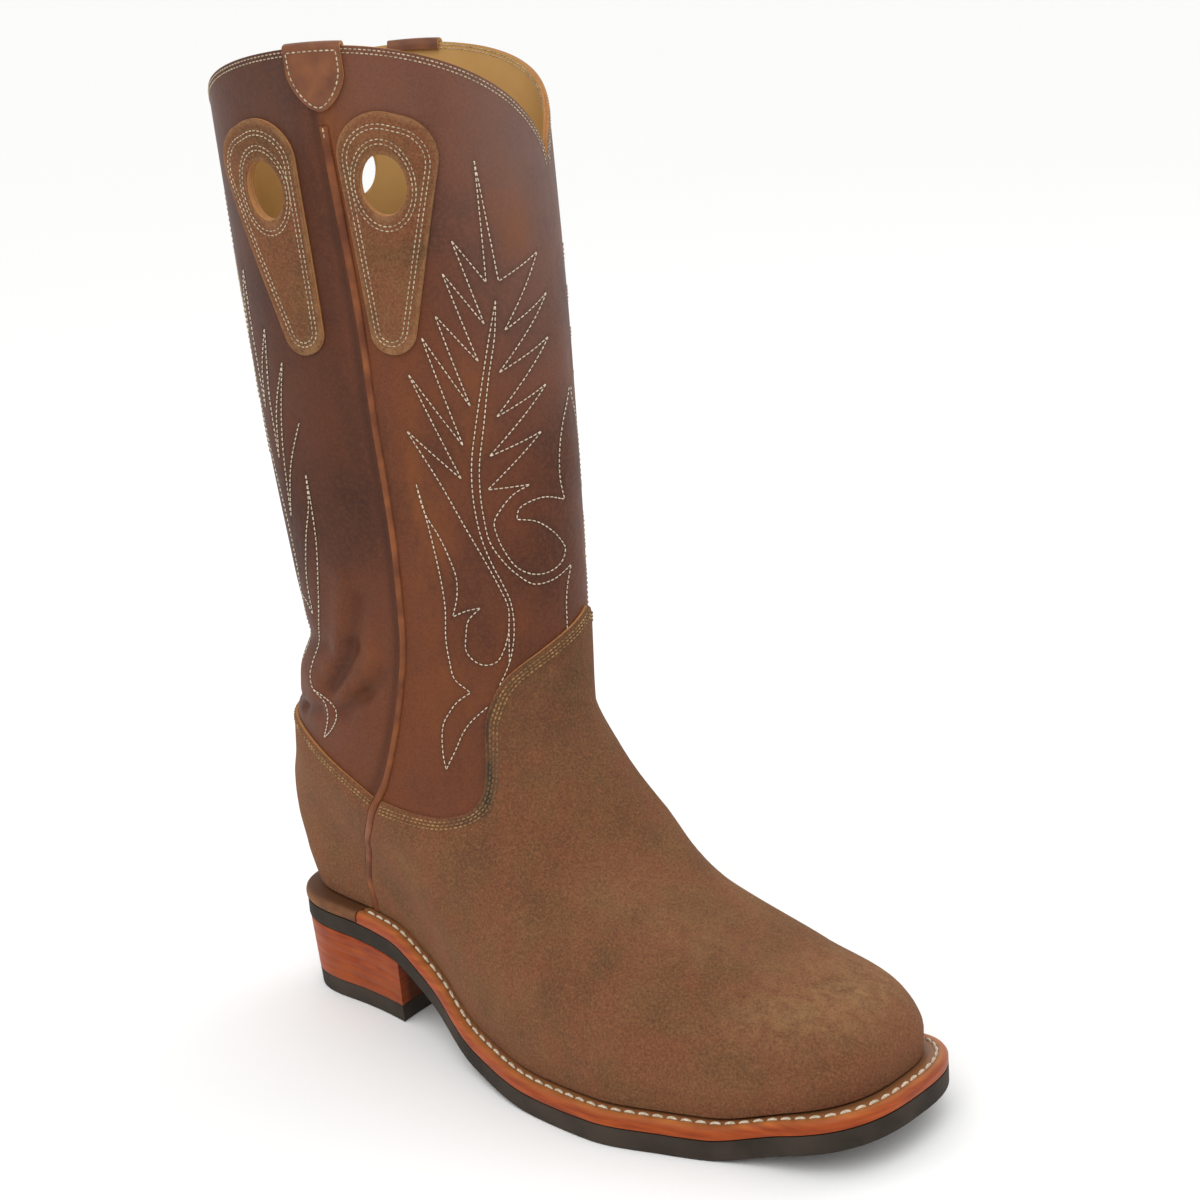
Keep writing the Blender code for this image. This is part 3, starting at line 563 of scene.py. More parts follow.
# Insole leather: undyed, vegetable tanned, matt and faintly clouded.
insole_leather, tree, shader, place = start_material("insole_leather_natural", "#B08552", 0.75)
cloud = node(tree, "TexNoise", {"Vector": place, "Scale": per_mm(18.0), "Detail": 5.0})
tone = node(tree, "Mix", {"Factor": cloud, "A": "#9A6F42", "B": "#C29A66"}, data_type="RGBA")
grain = node(tree, "TexNoise", {"Vector": place, "Scale": per_mm(0.8), "Detail": 3.0})
bump = node(tree, "Bump", {"Strength": 0.2, "Distance": 0.0002, "Height": grain})
wire(tree, shader, {"Base Color": tone, "Normal": bump})
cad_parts["insole"].material_slots[0].material = insole_leather

# Shaft: two panels of smooth pull-up leather, front and back, joined at the side seams and lasted with the
# foot. It stands nearly upright, turned a little inwards, with soft folds at the ankle and a deep scallop at
# the collar.
SECTION_COLUMNS = (
    "level", "back_x", "back_z", "front_x", "front_z", "half", "widest",
    "back_power", "front_power", "sole", "swing", "twist",
)
SECTIONS = [
    (0.00, 5.9, 49.0, 301.5, 26.5, 40.0, 0.55, 2.2, 3.0, 1.00, 8.0, 0.0),
    (0.05, 1.3, 64.0, 301.0, 34.5, 42.0, 0.55, 2.2, 3.0, 1.00, 8.0, 0.0),
    (0.12, -2.0, 82.0, 293.0, 47.1, 43.0, 0.55, 2.2, 2.6, 0.80, 8.0, 0.0),
    (0.20, 1.5, 98.0, 271.3, 54.3, 39.5, 0.52, 2.2, 2.0, 0.35, 8.0, 1.3),
    (0.29, 9.0, 114.0, 224.0, 67.4, 39.0, 0.50, 2.2, 1.9, 0.10, 6.0, 3.8),
    (0.38, 14.0, 130.0, 191.0, 87.6, 35.0, 0.48, 2.2, 1.9, 0.00, 4.0, 10.0),
    (0.46, 22.0, 148.0, 148.6, 139.0, 36.7, 0.48, 2.2, 2.0, 0.00, 2.0, 19.0),
    (0.54, 28.0, 172.0, 147.0, 162.0, 38.6, 0.50, 2.2, 2.1, 0.00, 0.0, 25.2),
    (0.62, 24.5, 198.0, 147.0, 196.0, 40.3, 0.50, 2.2, 2.2, 0.00, 0.0, 25.2),
    (0.80, 14.8, 280.0, 146.0, 280.0, 42.5, 0.50, 2.2, 2.2, 0.00, 0.0, 25.2),
    (1.00, 9.0, 385.0, 140.5, 385.0, 54.0, 0.50, 2.3, 2.3, 0.00, 0.0, 25.2),
    (1.06, 7.5, 416.5, 138.5, 416.5, 56.5, 0.50, 2.3, 2.3, 0.00, 0.0, 25.2),
]
TWIST_CENTRE = 65.0
LEAN = 1.5
LEAN_PIVOT = 140.0
LEAN_FROM = 120.0
LEAN_TO = 200.0
FEATHER_INSET = 8.0
FEATHER_LIFT = 0.3
COLLAR_SIDE = 402.8
COLLAR_FRONT = 360.0
COLLAR_BACK = 370.7
COLLAR_FRONT_POWER = 0.64
COLLAR_BACK_POWER = 0.55
SHAFT_LEVEL = 0.62
SHAFT_Z = 198.0
TOP_Z = 385.0
SIDE_SEAM = [
    # height above the floor, distance forward from the back of the sole
    (44.0, 55.0),
    (62.0, 55.0),
    (80.0, 63.0),
    (97.0, 76.0),
    (115.0, 84.2),
    (135.0, 90.6),
    (155.0, 94.8),
    (180.0, 98.0),
    (205.0, 98.4),
    (280.0, 94.8),
    (350.0, 94.4),
    (410.0, 94.0),
]
FOLDS = [
    # from place and level, to place and level, width and height in mm
    (0.00, 0.536, 0.26, 0.527, 5.5, -1.3),
    (0.378, 0.600, 0.336, 0.540, 3.6, -1.7),
    (0.336, 0.540, 0.298, 0.478, 3.4, -2.2),
    (0.430, 0.512, 0.395, 0.476, 3.6, -1.8),
    (0.395, 0.476, 0.345, 0.446, 3.4, -1.8),
    (0.400, 0.530, 0.340, 0.474, 4.2, 1.5),
    (0.350, 0.615, 0.268, 0.508, 4.8, 1.3),
    (0.02, 0.440, 0.17, 0.424, 4.0, -1.6),
    (0.17, 0.424, 0.265, 0.438, 3.4, -1.6),
    (0.06, 0.490, 0.22, 0.476, 7.0, 1.2),
    (0.560, 0.505, 0.545, 0.435, 6.0, 0.7),
    (0.620, 0.540, 0.590, 0.430, 8.0, -0.7),
    (0.525, 0.640, 0.515, 0.560, 5.0, 0.6),
    (0.720, 0.382, 0.890, 0.413, 3.6, -1.2),
    (0.745, 0.372, 0.930, 0.403, 3.6, 0.8),
    (0.680, 0.338, 0.840, 0.389, 3.6, -1.1),
    (0.690, 0.318, 0.850, 0.378, 3.6, 0.7),
    (0.665, 0.282, 0.840, 0.367, 4.2, -1.0),
]
FOLD_GIRTH = 160.0
FOLD_RISE = 318.0
SEAM_CALM = 0.75
SEAM_CALM_WIDTH = 7.0
BULGE = [
    # level, how far the foot's side stands out over the feather line
    (0.0, 0.0),
    (0.05, 2.0),
    (0.12, 1.0),
    (0.20, 0.0),
]
SEAM_SEARCH = (0.15, 0.70)
SEAM_POINTS = 101
HALVINGS = 30
SLOPE_STEP = 2e-3
WELT_LEVEL = 0.01


def welt_top(x):
    """Height of the welt's upper face."""
    return rubber_top(x) + GAP + WELT_THICKNESS


section_rows = np.array(SECTIONS)
foot_start = section_rows[0, 1]
foot_end = section_rows[0, 3]
for column, x in ((2, foot_start), (4, foot_end)):
    section_rows[0, column] = welt_top(x) + GAP + FEATHER_LIFT
section = dict(zip(SECTION_COLUMNS[1:], curves(section_rows)))
seam_reach = curves(SIDE_SEAM)[0]


def skin(around, level):
    """Outer face of the upper."""
    side, share = halves(around)
    level = np.asarray(level, float)
    t = (1 - np.cos(math.pi * share)) / 2
    row = {name: curve(level) for name, curve in section.items()}
    x = row["back_x"] + (row["front_x"] - row["back_x"]) * t
    widest = row["widest"]
    q = np.where(t < widest, (widest - t) / widest, (t - widest) / (1 - widest))
    power = np.where(t < widest, row["back_power"], row["front_power"])
    egg = row["swing"] * t ** 2 + side * row["half"] * np.clip(1 - q ** power, 0, 1) ** (1 / power)
    foot_x = foot_start + (foot_end - foot_start) * t
    bulge = np.interp(level, *zip(*BULGE))
    foot = footprint(foot_x, side, foot_start, foot_end, FEATHER_INSET - bulge)
    y = row["sole"] * foot + (1 - row["sole"]) * egg
    straight = welt_top(foot_start) + (welt_top(foot_end) - welt_top(foot_start)) * t
    z = row["back_z"] + (row["front_z"] - row["back_z"]) * t + row["sole"] * (welt_top(foot_x) - straight)
    turn = np.radians(row["twist"])
    turned_x = TWIST_CENTRE + (x - TWIST_CENTRE) * np.cos(turn) - y * np.sin(turn)
    turned_y = (x - TWIST_CENTRE) * np.sin(turn) + y * np.cos(turn)
    k = np.clip((z - LEAN_FROM) / (LEAN_TO - LEAN_FROM), 0, 1)
    lean = k * k * (3 - 2 * k) * math.sin(math.radians(LEAN))
    return np.stack([turned_x, turned_y + lean * (z - LEAN_PIVOT), z - lean * turned_y], -1)


def wall(around, level):
    """Outer face of the upper, with level 1 on the collar line."""
    level = np.asarray(level, float)
    _, share = halves(around)
    power = np.where(share > 0.5, COLLAR_FRONT_POWER, COLLAR_BACK_POWER)
    low = np.where(share > 0.5, COLLAR_FRONT, COLLAR_BACK)
    height = low + (COLLAR_SIDE - low) * np.abs(np.sin(math.pi * share)) ** power
    squeeze = (height - SHAFT_Z) / (TOP_Z - SHAFT_Z)
    return skin(around, np.where(level > SHAFT_LEVEL, SHAFT_LEVEL + (level - SHAFT_LEVEL) * squeeze, level))


def halve(shape, low, high, falls_short):
    """Values between two limits at which a growing measure no longer falls short, found by halving."""
    low, high = np.full(shape, low), np.full(shape, high)
    for _ in range(HALVINGS):
        middle = (low + high) / 2
        short = falls_short(middle)
        low, high = np.where(short, middle, low), np.where(short, high, middle)
    return (low + high) / 2


seam_levels = np.linspace(0, 1, SEAM_POINTS)


def behind_seam(around):
    """Whether places round the outer half, one for each level, lie behind the side seam."""
    point = wall(around, seam_levels)
    return point[..., 0] < seam_reach(point[..., 2])


seam_line = monotone(seam_levels, halve(SEAM_POINTS, *SEAM_SEARCH, behind_seam))


def outward(around, level):
    """Unit vectors square to the wall, level with the floor along the welt."""
    around, level = np.broadcast_arrays(np.asarray(around, float), np.asarray(level, float))
    across = wall(around + SLOPE_STEP, level) - wall(around - SLOPE_STEP, level)
    up = wall(around, np.minimum(level + SLOPE_STEP, 1.0)) - wall(around, np.maximum(level - SLOPE_STEP, 0.0))
    normal = np.cross(across, up)
    normal[..., 2] = np.where(level < WELT_LEVEL, 0.0, normal[..., 2])
    return unit(normal)


def relief(around, level):
    """Soft folds of the leather, outwards from the plain wall."""
    _, share = halves(around)
    total = np.zeros(np.broadcast(share, level).shape)
    for a0, l0, a1, l1, width, height in FOLDS:
        du, dv = (a1 - a0) * FOLD_GIRTH, (l1 - l0) * FOLD_RISE
        u, v = (share - a0) * FOLD_GIRTH, (level - l0) * FOLD_RISE
        k = np.clip((u * du + v * dv) / (du * du + dv * dv), 0, 1)
        away = (u - k * du) ** 2 + (v - k * dv) ** 2
        total = total + height * np.exp(-away / width ** 2)
    from_seam_line = (share - seam_line(level)) * FOLD_GIRTH
    return total * (1 - SEAM_CALM * np.exp(-(from_seam_line / SEAM_CALM_WIDTH) ** 2))


def raised(around, level, out):
    """Points at a distance outwards from the folded wall."""
    lift = np.asarray(out) + relief(around, level)
    return wall(around, level) + outward(around, level) * lift[..., None]


def girth_step(around, level, distance):
    """Change of place round the boot that moves a distance along the wall."""
    around = np.asarray(around, float)
    moved = wall(around + SLOPE_STEP, level) - wall(around - SLOPE_STEP, level)
    return distance / (np.linalg.norm(moved, axis=-1) / (2 * SLOPE_STEP))


def stitch(around, level, out, length, gap):
    """Stitches along a line on the wall, at a distance outwards from it."""
    return sew(raised(around, level, out), outward(around, level), length, gap)


def half_turn(around, side):
    """A place on the outer half (side -1), or the like place on the inner half."""
    return around if side < 0 else 2.0 - around


def shell(outer, inner, wrap):
    """Points, faces and kinds of face (0 outer, 1 inner, 2 edge) of a sheet between two grids of points."""
    rows, count = outer.shape[:2]
    high = np.arange(rows * count).reshape(rows, count)
    low = high + rows * count
    if wrap:
        high = np.concatenate([high, high[:, :1]], 1)
        low = np.concatenate([low, low[:, :1]], 1)
    outer_faces = np.stack([high[:-1, :-1], high[:-1, 1:], high[1:, 1:], high[1:, :-1]], -1).reshape(-1, 4)
    inner_faces = np.stack([low[:-1, :-1], low[1:, :-1], low[1:, 1:], low[:-1, 1:]], -1).reshape(-1, 4)
    edges = [
        np.stack([high[0, 1:], high[0, :-1], low[0, :-1], low[0, 1:]], -1),
        np.stack([high[-1, :-1], high[-1, 1:], low[-1, 1:], low[-1, :-1]], -1),
    ]
    if not wrap:
        edges.append(np.stack([high[:-1, 0], high[1:, 0], low[1:, 0], low[:-1, 0]], -1))
        edges.append(np.stack([high[1:, -1], high[:-1, -1], low[:-1, -1], low[1:, -1]], -1))
    edges = np.concatenate(edges)
    faces = np.concatenate([outer_faces, inner_faces, edges])
    kinds = np.repeat([0, 1, 2], [len(outer_faces), len(inner_faces), len(edges)])
    points = np.concatenate([outer.reshape(-1, 3), inner.reshape(-1, 3)])
    return points, faces.tolist(), kinds


def add_sheet(name, points, faces, kinds, *materials):
    """A mesh object of a sheet, with a material for each kind of face."""
    piece = add_mesh(name, points, faces, *materials)
    piece.data.polygons.foreach_set("material_index", np.ascontiguousarray(kinds, np.int32))
    return piece


# Smooth pull-up leather: waxed and oiled hide, dark red-brown, paler and more orange where it is pulled or
# rubbed. It has a fine pebble under a soft, uneven shine. Its colour also holds painted light: painted shade
# in stitch troughs, creases and on the back panel, a painted shadow beside the strip, painted highlights on
# fold ridges and ahead of the strip, and a painted greyish sheen high up and along the rim.
SHAFT_DARK = "#472719"
SHAFT_MID = "#623521"
SHAFT_WARM = "#69381E"
# A greyish painted sheen, mixed into the colour high on the front and back and along the rim.
SHAFT_SHEEN = "#8C7A74"
SHAFT_WEAR_AND_HIGHLIGHT = "#7E4923"
shaft_leather, tree, shader, place = start_material("shaft_leather_pull_up", SHAFT_MID, 0.5)
warm_and_ridge_highlight = node(tree, "Attribute", {}, "Fac", attribute_name="warm_and_ridge_highlight")
painted_shade = node(tree, "Attribute", {}, "Fac", attribute_name="painted_shade")
cloud = node(tree, "TexNoise", {"Vector": place, "Scale": per_mm(48.0), "Detail": 4.0})
pull = node(tree, "Mapping", {"Vector": place, "Scale": (1.0, 1.0, 0.45)})
streak = node(tree, "TexNoise", {"Vector": pull, "Scale": per_mm(13.0), "Detail": 8.0, "Roughness": 0.68})
mottle = node(tree, "TexNoise", {"Vector": place, "Scale": per_mm(1.6), "Detail": 5.0})
fade = node(tree, "MapRange", {"Value": cloud, "From Min": 0.38, "From Max": 0.62})
ragged = node(tree, "Math", {0: streak, 1: 2.6, 2: -1.3}, operation="MULTIPLY_ADD")
# Paler, more orange where the leather is pulled, with a painted highlight along the ridges of the folds.
rubbed_and_highlit = node(tree, "Math", {0: warm_and_ridge_highlight, 1: ragged}, operation="ADD")
rubbed_and_highlit = node(tree, "MapRange", {"Value": rubbed_and_highlit, "From Min": 0.1, "From Max": 1.05})
spots = node(tree, "MapRange", {"Value": mottle, "From Min": 0.42, "From Max": 0.66, "To Max": 0.42})
grain = node(tree, "TexNoise", {"Vector": place, "Scale": per_mm(0.7), "Detail": 3.0, "Roughness": 0.6})
pores = node(tree, "MapRange", {"Value": grain, "From Min": 0.54, "From Max": 0.3, "To Max": 0.42})
body = node(tree, "Mix", {"Factor": fade, "A": SHAFT_DARK, "B": SHAFT_MID}, data_type="RGBA")
pulled = node(tree, "Mix", {"Factor": rubbed_and_highlit, "A": body, "B": SHAFT_WARM}, data_type="RGBA")
spotted = node(tree, "Mix", {"Factor": spots, "A": pulled, "B": "#6B3E28"}, data_type="RGBA")
grained = node(tree, "Mix", {"Factor": pores, "A": spotted, "B": "#361C12"}, data_type="RGBA")
painted_sheen = node(tree, "Attribute", {}, "Fac", attribute_name="painted_sheen")
# Painted sheen: the colour greys high up on the front and back and along the rim.
wax_and_sheen = node(tree, "Mix", {"Factor": painted_sheen, "A": grained, "B": SHAFT_SHEEN}, data_type="RGBA")
paler_patches = node(tree, "Attribute", {}, "Fac", attribute_name="paler_patches")
patchy = node(tree, "MapRange", {"Value": streak, "From Min": 0.36, "From Max": 0.62, "To Min": 0.1})
wear_and_highlight_mix = node(tree, "Math", {0: paler_patches, 1: patchy}, operation="MULTIPLY")
# Paler orange spots of pulled leather, one of them a painted highlight ahead of the strip.
wear_and_highlight_tone = node(tree, "Mix", {"Factor": wear_and_highlight_mix, "A": wax_and_sheen, "B": SHAFT_WEAR_AND_HIGHLIGHT}, data_type="RGBA")
# Painted shade: the colour darkens to near-black brown in stitch troughs, creases, beside the strip and on
# the back panel.
tone = node(tree, "Mix", {"Factor": painted_shade, "A": wear_and_highlight_tone, "B": "#2A1710"}, data_type="RGBA")
gloss = node(
    tree, "MapRange", {"Value": streak, "From Min": 0.3, "From Max": 0.7, "To Min": 0.45, "To Max": 0.65}
)
pebble = node(tree, "TexVoronoi", {"Vector": place, "Scale": per_mm(1.0)})
wrinkle = node(tree, "TexNoise", {"Vector": place, "Scale": per_mm(4.5), "Detail": 6.0})
fine = node(tree, "Bump", {"Strength": 0.35, "Distance": 0.0002, "Height": pebble})
bump = node(tree, "Bump", {"Strength": 0.3, "Distance": 0.0008, "Height": wrinkle, "Normal": fine})
wire(tree, shader, {"Specular IOR Level": 0.18, "Base Color": tone, "Roughness": gloss, "Normal": bump})

# Raw leather edge: the pale orange-tan middle of the hide, seen wherever the leather is cut.
raw_edge, tree, shader, place = start_material("raw_leather_edge", "#A8672F", 0.85)
fibre = node(tree, "TexNoise", {"Vector": place, "Scale": per_mm(1.4), "Detail": 4.0})
tone = node(tree, "Mix", {"Factor": fibre, "A": "#8C5930", "B": "#BA854C"}, data_type="RGBA")
bump = node(tree, "Bump", {"Strength": 0.4, "Distance": 0.0003, "Height": fibre})
wire(tree, shader, {"Base Color": tone, "Normal": bump})

# Lining leather: soft gold-tan hide, matt, creased a little inside the shaft.
lining_leather, tree, shader, place = start_material("lining_leather_gold", "#A97840", 0.7)
cloud = node(tree, "TexNoise", {"Vector": place, "Scale": per_mm(22.0), "Detail": 5.0})
tone = node(tree, "Mix", {"Factor": cloud, "A": "#AA7E42", "B": "#C89F5E"}, data_type="RGBA")
grain = node(tree, "TexNoise", {"Vector": place, "Scale": per_mm(1.1), "Detail": 4.0})
bump = node(tree, "Bump", {"Strength": 0.25, "Distance": 0.0003, "Height": grain})
wire(tree, shader, {"Base Color": tone, "Normal": bump})

# The fancy stitching is a traditional flame and leaf, sewn in white on each half of both panels.
# Its lines are charted in millimetres: out from the panel's centre line, and height above the floor.
FLAME_TIP = (51, 360)
FLAME_OUTER = [
    # tip out, tip height, notch out, notch height, down the side of the flame towards the seam
    (59, 331, 45, 314),
    (62, 319, 45, 298),
    (64, 303, 47, 284),
    (69, 295, 50, 267),
    (74, 281, 53, 252),
    (75, 259, 54, 239),
]
FLAME_INNER = [
    # tip out, tip height, notch out, notch height, down the side towards the centre line
    (21, 323, 40, 314),
    (16, 307, 37, 295),
    (16, 290, 39, 279),
    (18, 272, 40, 262),
    (21, 254, 43, 247),
    (27, 234, 44, 234),
]
LONG_LINE = [(75, 259), (62, 237), (53, 219), (46, 205), (41, 194), (38, 186), (38, 177), (38, 163)]
CURL = [
    (27, 234), (34, 231), (39, 226), (42, 221), (41, 215), (38, 208), (34, 202), (27, 198), (19, 198),
    (13, 201), (11, 205), (14, 210), (19, 215), (25, 219), (33, 221),
]
HOOK = [(33, 221), (32, 225), (28, 227), (22, 228), (10, 225)]
SPEAR = [(10, 225), (12, 233), (12, 242), (9, 254), (0, 268)]
STEM_OUTER = [
    (41, 307), (44, 287), (46, 273), (48, 260), (50, 244), (50, 234), (49, 224), (47, 214), (44, 205),
    (40, 196), (37, 188), (36, 181), (36, 174), (37, 167), (41, 154),
]
STEM_INNER = [
    (41, 307), (41, 293), (43, 278), (45, 259), (47, 243), (47, 233), (46, 223), (44, 213), (40, 206),
    (34, 199), (27, 194), (20, 194), (8, 198),
]
STEM_TAIL = [(8, 198), (11, 190), (12, 184), (12, 176), (12, 168)]
LEAF_OUTER = [
    (72, 238), (69, 226), (66, 211), (64, 198), (63, 188), (63, 173), (62, 166), (60, 159), (52, 152),
]
LEAF_FOOT = [(52, 152), (57, 148), (60, 143), (66, 134), (77, 121)]
LEAF_BACK = [(77, 121), (64, 129), (53, 138), (44, 146)]
LEAF_INNER = [(72, 238), (69, 226), (64, 217), (60, 207), (58, 200), (58, 193), (60, 184)]
LEAF_BARB = [(60, 184), (55, 186), (49, 187)]
LEAF_CURL = [
    (49, 187), (54, 182), (55, 176), (55, 169), (52, 165), (48, 163), (43, 164), (40, 169), (38, 176),
]
MOTIF = [
    LONG_LINE, CURL, HOOK, SPEAR, STEM_OUTER, STEM_INNER, STEM_TAIL,
    LEAF_OUTER, LEAF_FOOT, LEAF_BACK, LEAF_INNER, LEAF_BARB, LEAF_CURL,
]
# The back panel has a slimmer flame with longer, bowed barbs.
BACK_TIP = (24, 352)
BACK_OUTER = [
    # tip out, tip height, notch out, notch height
    (36, 322, 25, 296),
    (42, 299, 28, 266),
    (48, 286, 31, 246),
    (50, 262, 30, 222),
]
BACK_INNER = [
    (9, 318, 17, 306),
    (7, 298, 16, 288),
    (6, 278, 16, 268),
    (7, 256, 17, 246),
]
BACK_BOW = 2.0
BACK_STEM = [
    (21, 330), (21, 300), (22, 270), (23, 245), (25, 220), (24, 200), (20, 186), (16, 172), (15, 158),
]
BACK_LEAF_OUTER = [
    (47, 241), (46, 228), (44, 213), (41, 201), (37, 189), (31, 175), (27, 166), (28, 156), (33, 149),
]
BACK_LEAF_INNER = [(47, 241), (45, 230), (38, 214), (33, 201), (30, 190), (29, 181)]
BACK_LEAF_BARB = [(29, 181), (25, 186), (20, 188)]
BACK_LEAF_FOOT = [(33, 149), (39, 147), (47, 143), (49, 138), (47, 132), (43, 127)]
BACK_LEAF_VEIN = [(33, 149), (42, 143), (44, 137), (43, 127)]
BACK_MOTIF = [BACK_STEM, BACK_LEAF_OUTER, BACK_LEAF_INNER, BACK_LEAF_BARB, BACK_LEAF_FOOT, BACK_LEAF_VEIN]
PANELS = [
    # centre line, far side, charted lines, shift outwards of the chart
    (1.0, 0.46, "front", 3.0),
    (1.0, 1.54, "front", -3.0),
    (0.0, 0.52, "back", 0.0),
    (2.0, 1.48, "back", 0.0),
]
PANEL_PLACES = 261
PANEL_LEVELS = (0.36, 0.99, 316)
PANEL_COARSE = 8
PANEL_STEPS = 10
CHART_STEP = 1.0
FANCY_STITCH = 1.5
FANCY_GAP = 0.6
FANCY_THREAD = 0.25
FANCY_SEAT = 0.05


def flame_side(corner, barbs, bow):
    """Lines down one side of a flame, to each notch and out to each barb, bowed inwards or straight."""
    lines = []
    for tip_out, tip_height, notch_out, notch_height in barbs:
        tip = (tip_out, tip_height)
        notch = (notch_out, notch_height)
        for start, end in ((corner, notch), (notch, tip)):
            middle = ((start[0] + end[0]) / 2 - bow, (start[1] + end[1]) / 2)
            lines.append([start, middle, end] if bow else [start, end])
        corner = tip
    return lines


front_flame = flame_side(FLAME_TIP, FLAME_OUTER, 0.0) + flame_side(FLAME_TIP, FLAME_INNER, 0.0)
back_flame = flame_side(BACK_TIP, BACK_OUTER, BACK_BOW) + flame_side(BACK_TIP, BACK_INNER, -BACK_BOW)
motifs = {"front": MOTIF + front_flame, "back": BACK_MOTIF + back_flame}


def smooth_run(points, step):
    """A smooth line through charted points, with a point about every step."""
    points = np.asarray(points, float)
    if len(points) == 2:
        count = max(3, int(np.linalg.norm(points[1] - points[0]) / step))
        return points[0] + (points[1] - points[0]) * np.linspace(0, 1, count)[:, None]
    walked = walk(points)
    slopes = np.gradient(points, walked, axis=0)
    fine = np.linspace(0, walked[-1], max(3, int(walked[-1] / step)))
    i = np.clip(np.searchsorted(walked, fine, side="right") - 1, 0, len(walked) - 2)
    span = (walked[i + 1] - walked[i])[:, None]
    k = (fine - walked[i])[:, None] / span
    return bend(k, span, points[i], points[i + 1], slopes[i], slopes[i + 1])


class Panel:
    """Half of a shaft panel, which turns charted millimetres into a place and level on the wall."""

    def __init__(self, centre, far):
        self.places = np.linspace(centre, far, PANEL_PLACES)
        self.levels = np.linspace(*PANEL_LEVELS)
        place, level = np.meshgrid(self.places, self.levels, indexing="ij")
        points = wall(place, level)
        steps = np.linalg.norm(np.diff(points, axis=0), axis=-1)
        self.out = np.concatenate([np.zeros((1, len(self.levels))), np.cumsum(steps, axis=0)])
        self.height = points[..., 2]

    def read(self, grid, p, q):
        """Value of a grid between its points, with its slopes."""
        i, j = p.astype(int), q.astype(int)
        u, v = p - i, q - j
        low, high = grid[i, j], grid[i + 1, j]
        low_next, high_next = grid[i, j + 1], grid[i + 1, j + 1]
        by_p = (high - low) * (1 - v) + (high_next - low_next) * v
        by_q = (low_next - low) * (1 - u) + (high_next - high) * u
        return low + by_p * u + (low_next - low) * v, by_p, by_q

    def find(self, out, height):
        """Places and levels of charted points: the nearest of a coarse grid, then closer step by step."""
        coarse_out = self.out[::PANEL_COARSE, ::PANEL_COARSE]
        coarse_height = self.height[::PANEL_COARSE, ::PANEL_COARSE]
        away = (coarse_out.ravel() - out[:, None]) ** 2 + (coarse_height.ravel() - height[:, None]) ** 2
        p, q = np.unravel_index(np.argmin(away, axis=1), coarse_out.shape)
        p, q = p * float(PANEL_COARSE), q * float(PANEL_COARSE)
        for _ in range(PANEL_STEPS):
            p = np.clip(p, 0, len(self.places) - 1.001)
            q = np.clip(q, 0, len(self.levels) - 1.001)
            found_out, out_p, out_q = self.read(self.out, p, q)
            found_height, height_p, height_q = self.read(self.height, p, q)
            off_out, off_height = out - found_out, height - found_height
            det = out_p * height_q - out_q * height_p
            p = p + (off_out * height_q - off_height * out_q) / det
            q = q + (off_height * out_p - off_out * height_p) / det
        return (
            self.places[0] + p * (self.places[1] - self.places[0]),
            self.levels[0] + q * (self.levels[1] - self.levels[0]),
        )


fancy_lines = []
for centre, far, panel_name, shift in PANELS:
    panel = Panel(centre, far)
    for line in motifs[panel_name]:
        chart = smooth_run(line, CHART_STEP)
        fancy_lines.append(panel.find(np.maximum(chart[:, 0] + shift, 0.0), chart[:, 1]))
fancy_runs = [stitch(place, level, FANCY_SEAT, FANCY_STITCH, FANCY_GAP) for place, level in fancy_lines]
fancy_stitching = add_thread("fancy_stitching", fancy_runs, FANCY_THREAD, white_thread)
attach(fancy_stitching, "root")

# Paler orange spots on the shaft: pulled leather, and a painted highlight on the band just ahead of the strip
# between the patches.
WEAR_AND_HIGHLIGHT_SPOTS = [
    # ahead of the seam, height, half length along the girth and upwards, strength
    (4.0, 348.0, 5.0, 40.0, 0.9),
    (56.0, 334.0, 8.0, 20.0, 0.4),
    (30.0, 264.0, 8.0, 20.0, 0.7),
    (12.0, 222.0, 7.0, 48.0, 0.5),
    (22.0, 150.0, 12.0, 24.0, 0.4),
    (-14.0, 160.0, 9.0, 20.0, 0.3),
]
PRESS_WIDTH = 1.0
PRESS_DEPTH = 0.22
PRESS_STEPS = range(-2, 3)
# Painted tones, by height, by depth of a fold or by distance from the seam: a start, where the tone is full,
# and its strength.
# The warm tone on fold ridges is a painted highlight; the dark tones are painted shade in stitch troughs, in
# creases and on the back panel, and a painted shadow beside the strip, which has a middle and a reach. The
# grey tone is a painted sheen.
WARM_BEFORE_SEAM = 26.0
WARM_BEHIND_SEAM = 4.0
WARM_SEAM = 0.7
WARM_LOW = (185.0, 115.0, 0.45)
WARM_HIGH = (330.0, 390.0, 0.2)
# Fold ridges painted paler: a painted highlight.
RIDGE_HIGHLIGHT = (0.0, 1.2, 0.45)
# Painted shade in stitch troughs, creases and on the back panel behind the seam, and a painted shadow beside
# the strip.
TROUGH_SHADE = 0.3
STRIP_SHADOW = 0.5
STRIP_SHADOW_PLACE = (-2.4, 1.5)
CREASE_SHADE = (0.0, -1.6, 0.32)
BACK_PANEL_SHADE = (0.0, -8.0, 0.36)
BACK_PANEL_SHADE_HEIGHT = (170.0, 230.0)
DARKEST = 0.75
# Painted sheen high on the front and back, and along the rim away from the seam.
SHEEN_HEIGHT = (240.0, 360.0, 0.3)
SHEEN_FROM_SIDE = (0.12, 0.37)
SHEEN_RIM = (360.0, 380.0, 0.105)
SHEEN_FROM_SEAM = (0.0, 12.0)
SHAFT_FROM = 0.27
LEATHER = 1.1
LINING = 1.0
SHAFT_PLACES = 300
SHAFT_ROWS = 150


def ramp(value, start, full, strength=1.0):
    """Share that grows evenly from nothing at the start to its strength where it is full."""
    return strength * np.clip((value - start) / (full - start), 0, 1)


